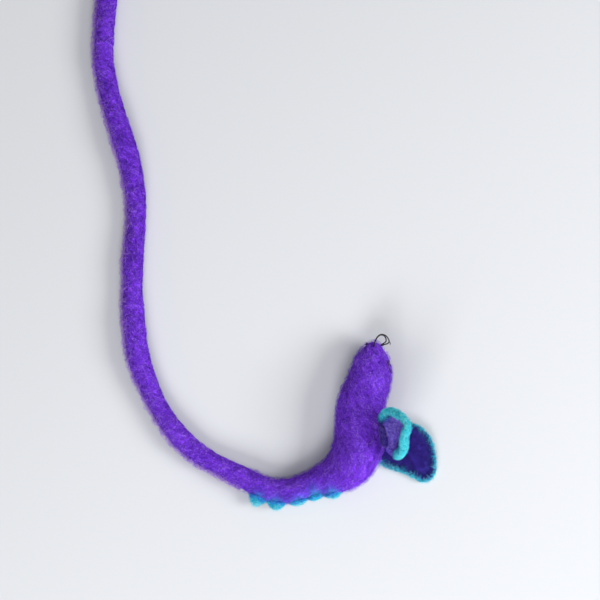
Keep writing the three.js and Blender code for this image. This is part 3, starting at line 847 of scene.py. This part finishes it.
# The four kinds of wool on an ear, with how many fibres of each.
RIM_MATTED = dict(length=2.6 * MM, width=0.26 * MM, lift=0.5 * MM, curl=1.4)
RIM_LOOSE = dict(length=4.6 * MM, width=0.18 * MM, lift=1.6 * MM, curl=2, places=5)
PETAL_MATTED = dict(length=4 * MM, width=0.2 * MM, lift=0.4 * MM, curl=2)
ROOT_MATTED = dict(length=3.6 * MM, width=0.22 * MM, lift=0.6 * MM, curl=1.6)
RIM_MATTED_COUNT = 7600
RIM_LOOSE_COUNT = 3200
PETAL_COUNT = 3600
ROOT_COUNT = 700
# How far the rim's wool reaches over its rounded ends, as a share of the rim's radius.
RIM_END_SHARE = 0.8
PETAL_SPREAD = (0.01, 0.85)
# How much painted shade the root roll's wool gets.
ROOT_WOOL_SHADE = 0.6
# Like fibres lie in clumps of about this size, whose tones differ by this much.
CLUMP_CELL = 1 * MM
CLUMP_SHADE = 1.4
CLUMP_SEED = 500


def ear_frame(place_share, slant, lift, root_angle=None):
    """Origin and axes of an ear: root runs round the body to the tail, slanted down, face is square
    to it and to the lifted way out, and out = face x root. Without an angle, the ear's rim lies on
    the floor: sin angle = -(spine height - rim radius - gap) / (body radius + both)."""
    centre, along, back = spine_at(place_share * BODY_LENGTH)
    reach = body_radius(place_share * BODY_LENGTH) + ROOT_GAP + RIM_RADIUS
    turn = -math.asin((centre[2] - RIM_RADIUS - ROOT_GAP) / reach)
    if root_angle is not None:
        turn = math.radians(root_angle)
    slope, rise = math.radians(slant), math.radians(lift)
    root = along * math.cos(slope) + (back * math.sin(turn) - UP * math.cos(turn)) * math.sin(slope)
    face = unit(np.cross(root, back * math.cos(rise) + UP * math.sin(rise)))
    origin = centre + reach * (back * math.cos(turn) + UP * math.sin(turn))
    return origin, np.stack([root, np.cross(face, root), face])


def along_line(distance, lengths, values):
    """Values given at lengths along a line, interpolated at a distance."""
    return np.stack([np.interp(distance, lengths, values[:, i]) for i in range(3)], -1)


class Ear:
    """One ear's surfaces in the toy's frame, each a function of two parameters and a lift."""

    def __init__(self, shares, rim_points, dish, back_side, **place):
        """The rim follows the first points of the edge, and the petal's outline is all of them. The
        back side, 1 or -1, is the sign of the ear's own z on its back."""
        self.origin, self.axes = ear_frame(**place)
        self.dish, self.back_side = dish, back_side
        edge = np.array(shares) * (EAR_WIDTH, EAR_HEIGHT, 2 * RIM_RADIUS)
        self.line = smooth_curve(edge[:rim_points], RIM_STEPS)
        self.lengths = lengths_along(self.line)
        self.ways = unit(np.gradient(self.line, self.lengths, axis=0))
        edge = smooth_curve(edge, RIM_STEPS)
        self.root_ends = edge[0, 0] + RIM_RADIUS, edge[-1, 0] - RIM_RADIUS
        self.lobe = np.vstack([edge, edge[:1]])
        self.lobe_lengths = lengths_along(self.lobe)
        self.middle = (edge.min(0) + edge.max(0)) / 2 * (1, 1, 0)

    def placed(self, local):
        """Ear coordinates carried to the toy's frame, and kept off the floor."""
        point = self.origin + local @ self.axes
        point[..., 2] = np.maximum(point[..., 2], REST_GAP)
        return point

    def rim(self, distance, turn, lift=0):
        """A tube along the rim's line, thinner to the nose end, past each end as a half ball: the
        relief and the lift lie on the normal, which is side cos turn + face sin turn, tilted by
        arcsin x at the ends."""
        within = np.clip(distance, 0, self.lengths[-1])
        radius = RIM_RADIUS * np.interp(within, RIM_GIRTH_DISTANCES, RIM_GIRTH_SHARES)
        way = along_line(within, self.lengths, self.ways)
        side = unit(np.cross(way, UP))
        ahead = np.clip((distance - within) / RIM_RADIUS, -1, 1)
        out = side * np.cos(turn)[..., None] + np.cross(side, way) * np.sin(turn)[..., None]
        normal = out * np.sqrt(1 - ahead**2)[..., None] + way * ahead[..., None]
        smooth = along_line(within, self.lengths, self.line) + normal * radius[..., None]
        relief = RIM_RELIEF_SHARE * felt_relief(smooth + 2 * EAR_HEIGHT)
        return self.placed(smooth + normal * (relief + lift)[..., None])

    def rim_fade(self, distance, turn):
        """How far the rim's wool has turned to the petal's colour: all of it on the inner side, where the two
        wools meet; further round on the ear's back, partly as painted shade; and at the end by the nose,
        which lies against the body, as painted shade."""
        inner = smooth_step(np.cos(turn - FADE_TURN * self.back_side), *FADE_AND_SHADE_SHARES[self.back_side])
        return np.maximum(inner, 1 - smooth_step(distance, 0, NOSE_END_SHADE))

    def rimmed(self, turn):
        """1 where the petal's edge has a rim, fading to 0 past the rim's ends."""
        share = (turn / (2 * math.pi) % 1) * self.lobe_lengths[-1]
        beyond = (share - self.lengths[-1]) / TINT_FADE
        return (1 - smooth_step(beyond, -0.5, 0.5)) * smooth_step(share, 0, TINT_FADE)

    def petal(self, radial, turn, lift=0):
        """From the middle, at radial 0, to the edge at 1, with the under side at radial below 0.
        Height: the edge's times r², less the dish times 1 - r², plus folds that run outwards. Near
        the rim the felt thickens by a smooth step, where the two are felted together."""
        share = (turn / (2 * math.pi) % 1) * self.lobe_lengths[-1]
        r = np.abs(radial)
        side = np.where(radial < 0, -1.0, 1.0)
        edge = along_line(share, self.lobe_lengths, self.lobe)
        local = self.middle + (edge - self.middle) * r[..., None]
        folds = PETAL_FOLD * np.sin(PETAL_FOLDS * turn + 2 * np.sin(3 * turn)) * r**2 * (1 - r)
        fillet = PETAL_FILLET * smooth_step(r, *FILLET_SHARES) * self.rimmed(turn)
        half = PETAL_THICKNESS / 2 * np.sqrt(np.maximum(1 - PETAL_THINNING * r**8, 0)) + fillet
        relief = PETAL_RELIEF_SHARE * felt_relief(local + 3 * EAR_HEIGHT)
        cup = edge[..., 2] * r**2 - self.dish * (1 - r**2)
        local[..., 2] = cup + folds + side * (half + relief + lift)
        return self.placed(local)

    def petal_edge(self, radial, turn):
        """How far the petal's wool has turned to the rim's colour: a smooth step outwards, where the
        edge has a rim, and less of it on the back."""
        front = 1 - (1 - BACK_TINT) * self.petal_back(radial)
        return smooth_step(np.abs(radial), *TINT_SHARES) * self.rimmed(turn) * front

    def petal_back(self, radial):
        """1 on the petal's back, and 0 on the side that is hollowed."""
        return np.where(radial * self.back_side > 0, 1.0, 0.0)

    def root(self, across, turn, lift=0):
        """A soft roll on the hinge line, from one end of the rim to the other, that swells to its
        middle: radius = rim radius + swell cos, closed at both ends as half balls are."""
        start, end = self.root_ends
        half = (end - start) / 2
        x = np.clip((across - start - half) / half, -1, 1)
        radius = (RIM_RADIUS + ROOT_SWELL * np.cos(math.pi * x / 2)) * np.sqrt(1 - np.abs(x) ** 6)
        local = np.stack([across, radius * np.sin(turn), radius * np.cos(turn)], -1)
        out = np.stack([0 * turn, np.sin(turn), np.cos(turn)], -1)
        relief = ROOT_RELIEF_SHARE * felt_relief(local + 4 * EAR_HEIGHT)
        return self.placed(local + out * (relief + lift)[..., None])


def rim_material():
    """Speckled turquoise felt, pale fibres over darker wool, that fades to the petal's colour, partly as
    painted shade.
    """
    material, tree, shader = new_material("turquoise_felt")
    speck = noise_value(tree, 1.5 * MM, 4, 0.7)
    # Noise keeps to the middle of its range, so the stops are drawn in to it.
    base = colour_ramp(tree, speck, [(0.3 + 0.4 * place, colour) for place, colour in RIM_STOPS])
    finish_wool(tree, shader, tinted(tree, base, "fade", RIM_FADE_AND_SHADE_STOPS), RIM_SHEEN, 0.6 * MM)
    return material


def petal_colour(tree, base):
    """The petal's wool, with painted shade on the ear's back and on the root roll, and blue towards the rim.
    """
    return tinted(tree, tinted(tree, base, "back", PETAL_BACK_SHADE_STOPS), "edge", PETAL_EDGE_STOPS)


def petal_material():
    """Purple felt that turns blue towards the rim, where the mesh's edge value rises, with painted shade on
    the ear's back.
    """
    material, tree, shader = new_material("ear_felt")
    base = colour_ramp(tree, noise_value(tree, 2.2 * MM, 4, 0.65), PETAL_STOPS)
    finish_wool(tree, shader, petal_colour(tree, base), WOOL_SHEEN, 0.7 * MM)
    return material


def petal_fibre_material():
    """The petal's own fibres, from dark to pale, with the same painted shade on the ear's back."""
    material, tree, shader = new_material("ear_matted_fibre")
    base = colour_ramp(tree, specked_tone(tree, 1.6), PETAL_FIBRE_STOPS)
    finish_wool(tree, shader, petal_colour(tree, base), WOOL_SHEEN)
    return material


rim_felt_material = rim_material()
rim_matted_material = fibre_material(
    "turquoise_matted_fibre", RIM_STOPS, RIM_SHEEN, 6, "fade", RIM_FADE_AND_SHADE_STOPS)
rim_loose_material = fibre_material(
    "turquoise_loose_fibre", RIM_LOOSE_STOPS, RIM_SHEEN, 1, "fade", RIM_FADE_AND_SHADE_STOPS)
petal_felt_material = petal_material()
petal_matted_material = petal_fibre_material()


def clump_tone(points, seed):
    """How pale each fibre is, from 0 to 1: 0.5 plus noise over the surface, so that like fibres lie
    in clumps, plus a random part that is normally spread."""
    random = np.random.default_rng(seed).normal(0, FIBRE_SHADE, len(points))
    return np.clip(0.5 + CLUMP_SHADE * lattice_noise(points, CLUMP_CELL) + random, 0, 1)


def clumped_wool(name, surface, u, v, seed, **wool):
    """Wool fibres over a surface, each with its clump's tone."""
    tone = clump_tone(surface(u, v), CLUMP_SEED + seed)
    return wool_fibres(name, surface, u, v, seed, tone=tone, **wool)


def add_ear(side, ear, seed):
    """An ear's felt pieces and their wool, which ride together and stand for its two nodes."""
    body = f"ear_{side}"
    length = ear.lengths[-1]
    ends = RIM_RADIUS * np.sin(end_turns)
    rings = np.concatenate([-ends[::-1], np.linspace(0, length, RIM_RINGS), length + ends])
    grid = ring_grid(rings, RIM_COLUMNS)
    rim = ringed_piece(f"{body}_rim_felt", [ear.rim(*grid)], fade=[ear.rim_fade(*grid)])
    dress(rim, body, rim_felt_material)

    radial = np.linspace(PETAL_INNER_SHARE, 1, PETAL_RINGS)
    grid = ring_grid(np.concatenate([radial, -radial[::-1]]), PETAL_COLUMNS)
    petal = ringed_piece(f"{body}_petal_felt", [ear.petal(*grid)], edge=[ear.petal_edge(*grid)],
                         back=[ear.petal_back(grid[0])])
    dress(petal, body, petal_felt_material)

    start, end = ear.root_ends
    across_turns = np.linspace(ROOT_END_TURN, math.pi - ROOT_END_TURN, ROOT_RINGS)
    grid = ring_grid((start + end) / 2 - (end - start) / 2 * np.cos(across_turns), RIM_COLUMNS)
    # The root roll is given the back's painted shade all over, for the gap by the body.
    root = ringed_piece(f"{body}_root_felt", [ear.root(*grid)], edge=[0 * grid[0]],
                        back=[0 * grid[0] + 1])
    dress(root, body, petal_felt_material)

    rim_ends = -RIM_END_SHARE * RIM_RADIUS, length + RIM_END_SHARE * RIM_RADIUS
    distance, turn = scattered(RIM_MATTED_COUNT, *rim_ends, seed)
    matted = clumped_wool(f"{body}_rim_matted_wool", ear.rim, distance, turn, seed, **RIM_MATTED,
                          fade=ear.rim_fade(distance, turn))
    dress(matted, body, rim_matted_material)
    distance, turn = scattered(RIM_LOOSE_COUNT, *rim_ends, seed + 1)
    loose = clumped_wool(f"{body}_rim_loose_wool", ear.rim, distance, turn, seed + 1, **RIM_LOOSE,
                         fade=ear.rim_fade(distance, turn))
    dress(loose, body, rim_loose_material)

    random = np.random.default_rng(seed + 2)
    r = np.sqrt(random.uniform(*PETAL_SPREAD, PETAL_COUNT)) * np.where(np.arange(PETAL_COUNT) % 2, 1, -1)
    turn = random.uniform(0, 2 * math.pi, len(r))
    nap = clumped_wool(f"{body}_petal_matted_wool", ear.petal, r, turn, seed + 3, **PETAL_MATTED,
                       edge=ear.petal_edge(r, turn), back=ear.petal_back(r))
    dress(nap, body, petal_matted_material)
    across = random.uniform(start, end, ROOT_COUNT)
    turn = random.uniform(0, 2 * math.pi, len(across))
    root_nap = clumped_wool(f"{body}_root_matted_wool", ear.root, across, turn, seed + 4, **ROOT_MATTED,
                            edge=0 * turn, back=ROOT_WOOL_SHADE + 0 * turn)
    dress(root_nap, body, petal_matted_material)

    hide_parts(f"{body}_petal")
    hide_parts(f"{body}_rim")


left_ear = Ear(LEFT_EDGE_SHARES, 13, 6 * MM, -1, place_share=0.385, slant=22, lift=60, root_angle=30)
right_ear = Ear(RIGHT_EDGE_SHARES, 15, -1.8 * MM, 1, place_share=0.422, slant=0, lift=0)
add_ear("left", left_ear, seed=101)
add_ear("right", right_ear, seed=201)

# Scallops. A row of small lobes of turquoise wool is felted on down the middle of the back, each
# flat and puffy with a root that fades into the purple, and each made by eye, so they vary.
SCALLOP_WIDTH = 13 * MM
SCALLOP_HEIGHT = 7.6 * MM
SCALLOP_THICKNESS = 4.8 * MM
SCALLOP_SINK = 2.2 * MM
SCALLOP_HEIGHT_SHARES = (1, 0.8, 0.45, 0.4, 0.6)
SCALLOP_FLARE = 1.12
SCALLOP_POWER = 1.9
# How much thicker a scallop's foot is than its lobe, and over what height it thins.
FOOT_SWELL = 1.4
FOOT_HEIGHT = 1.7 * MM
SCALLOP_RELIEF_SHARE = 0.7
SCALLOP_RINGS = 26
SCALLOP_COLUMNS = 84
SCALLOP_WOOL = dict(length=2.6 * MM, width=0.22 * MM, lift=0.8 * MM, curl=1.4)
SCALLOP_WOOL_COUNT = 1400
SCALLOP_WOOL_SPREAD = (0.02, 0.98)
SCALLOP_WOOL_TURNS = (-0.2 * math.pi, 1.2 * math.pi)
# How far a fibre's colour is moved along the stops by its tone, and the tone that leaves it alone.
CLUMP_RISE = 0.7
CLUMP_MIDDLE = 0.4
# Rings lie closer together towards a scallop's edge, where it curves most.
SCALLOP_RING_START = 0.985
SCALLOP_RING_POWER = 1.6
SCALLOP_STOPS = (
    (0, linear(70, 104, 224)), (0.12, linear(48, 164, 236)), (0.3, linear(40, 204, 240)),
    (0.75, linear(76, 226, 244)), (1, linear(186, 244, 250)))


def scallop_surface(index):
    """The surface of one scallop, as a function of radial, from 0 in the middle to 1 at the edge and
    back on the under side below 0, and of turn, with a lift."""
    place = BODY_LENGTH - CREST_PLACES[index]
    centre, along, back = spine_at(place)
    origin = centre + back * skin_radius(place)
    height = SCALLOP_HEIGHT * SCALLOP_HEIGHT_SHARES[index]

    def surface(radial, turn, lift=0):
        """Above the skin x = w cos, y = h sin^1.9, a lobe whose foot flares out, and a shallow bowl
        under it. The thickness is domed as (1 - r^2.4)^0.6, and the foot swells by an exponential."""
        r = np.abs(radial)
        x = SCALLOP_FLARE * SCALLOP_WIDTH / 2 * np.cos(turn) * r
        lobe = height * np.maximum(np.sin(turn), 0) ** SCALLOP_POWER
        y = (lobe + SCALLOP_SINK * np.minimum(np.sin(turn), 0)) * r
        dome = SCALLOP_THICKNESS / 2 * np.maximum(1 - r**2.4, 0) ** 0.6
        foot = 1 + FOOT_SWELL * np.exp(-np.maximum(y, 0) / FOOT_HEIGHT)
        side = np.where(radial < 0, -1.0, 1.0)
        smooth = origin + along * x[..., None] + back * y[..., None] + UP * (side * dome * foot)[..., None]
        normal = (UP * (side * np.sqrt(np.maximum(1 - r**4, 0)))[..., None]
                  + (along * np.cos(turn)[..., None] + back * np.sin(turn)[..., None]) * (r**2)[..., None])
        return smooth + normal * (SCALLOP_RELIEF_SHARE * felt_relief(smooth) + lift)[..., None]

    return surface


def scallop_rise(radial, turn):
    """How far out from the skin a point lies, as a share of the scallop's height: most of it by its
    place on the lobe, and the rest by how near it is to the edge."""
    return np.abs(radial) * np.maximum(np.sin(turn), 0) ** 1.3 * 0.85 + 0.15 * np.abs(radial) ** 6


def scallop_material(name, contrast):
    """Turquoise wool that fades to the purple of the back at the root, with specks about it."""
    material, tree, shader = new_material(name)
    rise = attribute_value(tree, "rise")
    speck = noise_value(tree, SPECK_CELL, 4, 0.7)
    rise = math_value(tree, "MULTIPLY_ADD", speck, contrast, math_value(tree, "ADD", rise, -contrast / 2))
    finish_wool(tree, shader, colour_ramp(tree, rise, SCALLOP_STOPS), RIM_SHEEN, 0.6 * MM)
    return material


scallop_felt = scallop_material("scallop_felt", contrast=0.5)
scallop_fibre = scallop_material("scallop_fibre", contrast=0.9)
scallop_radial = 1 - np.linspace(SCALLOP_RING_START, 0, SCALLOP_RINGS) ** SCALLOP_RING_POWER
scallop_grid = ring_grid(np.concatenate([scallop_radial, -scallop_radial[::-1]]), SCALLOP_COLUMNS)
either_side = np.where(np.arange(SCALLOP_WOOL_COUNT) % 2, 1, -1)
for index in range(len(CREST_PLACES)):
    surface = scallop_surface(index)
    scallop = ringed_piece(
        f"crest_scallop_{index + 1}_felt", [surface(*scallop_grid)], rise=[scallop_rise(*scallop_grid)])
    dress(scallop, "mouse", scallop_felt)
    random = np.random.default_rng(301 + index)
    r = np.sqrt(random.uniform(*SCALLOP_WOOL_SPREAD, SCALLOP_WOOL_COUNT)) * either_side
    turn = random.uniform(*SCALLOP_WOOL_TURNS, len(r))
    tone = clump_tone(surface(r, turn), seed=321 + index)
    rise = np.clip(scallop_rise(r, turn) + CLUMP_RISE * (tone - CLUMP_MIDDLE), 0, 1)
    fuzz = wool_fibres(
        f"crest_scallop_{index + 1}_wool", surface, r, turn, seed=311 + index, **SCALLOP_WOOL, rise=rise)
    dress(fuzz, "mouse", scallop_fibre)
    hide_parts(f"crest_scallop_{index + 1}")

# Thread. Waxed black cotton of two twisted plies makes two loose loops at the snout, a knot beside
# them and a stitched oval with a knot for each eye.
PLY_RADIUS = 0.3 * MM
PLY_OFFSET = 0.24 * MM
PLY_PITCH = 2.2 * MM
PLY_COLUMNS = 10
PLY_STEP = 0.12 * MM
PLY_FEWEST_RINGS = 12
# How near its end, in radii, a ply stops getting thinner.
PLY_END_SHARE = 0.05
LOOP_WIDTH = 11 * MM
LOOP_HEIGHT = 7.3 * MM
LOOP_RISE = 8 * MM
LOOP_ASIDE = 2 * MM
LOOP_STEPS = 24
LONG_LOOP_SHARES = (
    (-0.22, -0.6, 0.62), (-0.29, 0.1, 1.16), (-0.22, 0.7, 1.2), (-0.05, 1.05, 1.14), (0.19, 1.14, 1),
    (0.46, 1, 0.78), (0.69, 0.64, 0.6), (0.65, 0.37, 0.48), (0.43, 0.14, 0.32), (0.1, -0.3, 0.1),
)
SHORT_LOOP_SHARES = (
    (-0.2, -0.6, 0.42), (-0.27, 0.12, 0.88), (-0.2, 0.68, 0.9), (-0.04, 0.99, 0.84), (0.18, 1.05, 0.7),
    (0.38, 0.86, 0.48), (0.48, 0.52, 0.28), (0.34, 0.2, 0.12), (-0.02, -0.3, -0.04),
)
STRAY_SHARES = ((0.69, 0.64, 0.6), (0.8, 0.5, 0.56), (0.84, 0.3, 0.5))
EYE_DISTANCE = 15.3 * MM
EYE_ANGLE = 16
EYE_SLANT = 45
EYE_LENGTH = 9.6 * MM
EYE_HEIGHT = 4.4 * MM
EYE_OPENING = 24
EYE_STEPS = 90
EYE_LIFT = 0.45 * MM
EYE_KNOT_RADIUS = 1.4 * MM
EYE_KNOT_LIFT = 0.5 * MM
NOSE_KNOT_RADIUS = 1 * MM
NOSE_KNOT_LIFT = 0.9 * MM
NOSE_KNOT_DISTANCE = 4 * MM
NOSE_KNOT_ANGLE = 165
KNOT_STEPS = 160
THREAD_STOPS = ((0.35, linear(16, 11, 14)), (0.6, linear(32, 23, 27)), (0.8, linear(62, 48, 50)))


def ply_tube(line, aside, ply, offset=PLY_OFFSET):
    """One ply of a thread along a line: a tube whose middle circles the line at the offset, one
    turn in each pitch, from the way aside. Its ends close to a point."""
    lengths = lengths_along(line)
    distance = np.linspace(0, lengths[-1], max(int(lengths[-1] / PLY_STEP), PLY_FEWEST_RINGS))
    place = along_line(distance, lengths, line)

    def framed(points):
        """Two ways square to the line through those points, and to each other."""
        way = unit(np.gradient(points, axis=0))
        first = unit(np.cross(way, aside))
        return first, np.cross(way, first)

    first, second = framed(place)
    phase = (2 * math.pi * distance / PLY_PITCH + math.pi * ply)[:, None]
    middle = place + offset * (first * np.cos(phase) + second * np.sin(phase))
    first, second = framed(middle)
    near_end = np.minimum(distance, lengths[-1] - distance) / PLY_RADIUS
    radius = PLY_RADIUS * np.sqrt(np.clip(1 - (1 - np.clip(near_end, PLY_END_SHARE, 1)) ** 2, 0, 1))
    angle = turns(PLY_COLUMNS)[None, :, None]
    out = first[:, None] * np.cos(angle) - second[:, None] * np.sin(angle)
    return middle[:, None] + radius[:, None, None] * out


def thread_piece(name, lines, node):
    """Twisted threads along lines, each given with a way aside and its number of plies."""
    piece = ringed_piece(name, [ply_tube(line, aside, ply, PLY_OFFSET if plies > 1 else 0)
                                for line, aside, plies in lines for ply in range(plies)])
    dress(piece, "mouse", thread_material)
    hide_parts(node)


thread_material, tree, shader = new_material("black_thread")
fibres = colour_ramp(tree, noise_value(tree, 0.5 * MM, 3, 0.6), THREAD_STOPS)
tree.links.new(fibres, shader.inputs["Base Color"])
shader.inputs["Roughness"].default_value = 0.5
shader.inputs["Specular IOR Level"].default_value = 0.25
bump = add_node(tree, "ShaderNodeBump", Strength=0.4, Distance=0.1 * MM,
                Height=noise_value(tree, 0.25 * MM, 3, 0.6))
tree.links.new(bump.outputs["Normal"], shader.inputs["Normal"])


def loop_line(shares):
    """Points across, ahead of and above the place beside the nose, as shares of the loop's sizes."""
    tip, along, back = spine_at(0)
    offsets = np.array(shares) * (LOOP_WIDTH, -LOOP_HEIGHT, LOOP_RISE) + (LOOP_ASIDE, 0, 0)
    return smooth_curve(tip + offsets @ np.stack([back, along, UP]), LOOP_STEPS)


def knot_line(middle, first, second, radius):
    """A trefoil: (sin t + 2 sin 2t, cos t - 2 cos 2t, -1.4 sin 3t) / 3 of the radius."""
    t = np.linspace(0, 2 * math.pi, KNOT_STEPS)
    shape = np.stack([np.sin(t) + 2 * np.sin(2 * t), np.cos(t) - 2 * np.cos(2 * t), -1.4 * np.sin(3 * t)], -1)
    return middle + radius / 3 * shape @ np.stack([first, second, np.cross(first, second)])


def on_skin(distance, turn, lift):
    """A point over the skin, as an array of one or more rows."""
    return body_surface(np.asarray(distance, float), np.asarray(turn, float), lift)


def skin_knot(distance, turn, lift, radius):
    """The way out of the skin at a place, and a knot that lies on it there."""
    _, along, back = spine_at(distance)
    out = back * math.cos(turn) + UP * math.sin(turn)
    return out, knot_line(on_skin(distance, turn, lift), along, np.cross(out, along), radius)


long_loop, stray_end = loop_line(LONG_LOOP_SHARES), loop_line(STRAY_SHARES)
thread_piece("whisker_thread_long", [(long_loop, UP, 2), (stray_end, UP, 1)], "whisker_loop_long")
thread_piece("whisker_thread_short", [(loop_line(SHORT_LOOP_SHARES), UP, 2)], "whisker_loop_short")
out, knot = skin_knot(NOSE_KNOT_DISTANCE, math.radians(NOSE_KNOT_ANGLE), NOSE_KNOT_LIFT, NOSE_KNOT_RADIUS)
thread_piece("nose_knot_thread", [(knot, out, 2)], "nose_knot")


def eye_place(sign, forward, across):
    """Distance and turn of a place in an eye's oval, from the ways along it, down to the tail, and
    across it, to the top: both are turned by the slant, and the rise is an arc of the skin."""
    slant = math.radians(EYE_SLANT)
    rise = across * math.cos(slant) - forward * math.sin(slant)
    distance = EYE_DISTANCE + forward * math.cos(slant) + across * math.sin(slant)
    return distance, sign * (math.radians(EYE_ANGLE) + rise / skin_radius(EYE_DISTANCE))


half_opening = np.radians(EYE_OPENING / 2)
turn = np.linspace(half_opening, 2 * math.pi - half_opening, EYE_STEPS)
forward, across = -EYE_LENGTH / 2 * np.cos(turn), EYE_HEIGHT / 2 * np.sin(turn)
for side, sign in (("left", 1), ("right", -1)):
    oval = on_skin(*eye_place(sign, forward, across), EYE_LIFT)
    out, knot = skin_knot(*eye_place(sign, -EYE_LENGTH / 2, 0), EYE_KNOT_LIFT, EYE_KNOT_RADIUS)
    thread_piece(f"eye_{side}_thread", [(oval, out, 2), (knot, out, 2)], f"eye_{side}")

# Floor and light. A plain pale floor, a large soft lamp from the right, weaker ones from below the
# picture and from above the toy, and an even world.
FLOOR_SIZE = 8
TOY_MIDDLE = (-0.06, 0.11, 0)
WORLD_STRENGTH = 0.32

floor_points = FLOOR_SIZE / 2 * np.array([[-1, -1, 0], [1, -1, 0], [1, 1, 0], [-1, 1, 0]])
floor = new_piece("floor", floor_points, np.array([[0, 1, 2, 3]]), np.zeros((0, 3), int))
floor_material, _, floor_shader = new_material("pale_floor")
floor_shader.inputs["Base Color"].default_value = linear(206, 208, 212)
floor_shader.inputs["Roughness"].default_value = 0.9
floor.data.materials.append(floor_material)
floor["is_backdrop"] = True


def add_lamp(name, place, size, power):
    """A square area lamp at place, turned to face the toy."""
    data = bpy.data.lights.new(name, "AREA")
    data.size, data.energy = size, power
    lamp = bpy.data.objects.new(name, data)
    lamp.location = place
    way = np.array(TOY_MIDDLE) - np.array(place)
    tilt = math.atan2(math.hypot(way[0], way[1]), -way[2])
    lamp.rotation_euler = (tilt, 0, math.atan2(way[0], -way[1]) + math.pi)
    bpy.context.scene.collection.objects.link(lamp)


add_lamp("key", place=(1.5, -0.2, 1.1), size=0.9, power=31)
add_lamp("front", place=(-0.3, -1.4, 1.2), size=0.9, power=24)
add_lamp("top", place=(0.1, 0, 2), size=1.2, power=6)
world = bpy.data.worlds.new("even_light")
world.use_nodes = True
background = world.node_tree.nodes["Background"]
background.inputs["Color"].default_value = (1, 1, 1, 1)
background.inputs["Strength"].default_value = WORLD_STRENGTH
bpy.context.scene.world = world

low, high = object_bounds()
{"cad": [list(cad_low), list(cad_high)], "visual": [list(low), list(high)]}
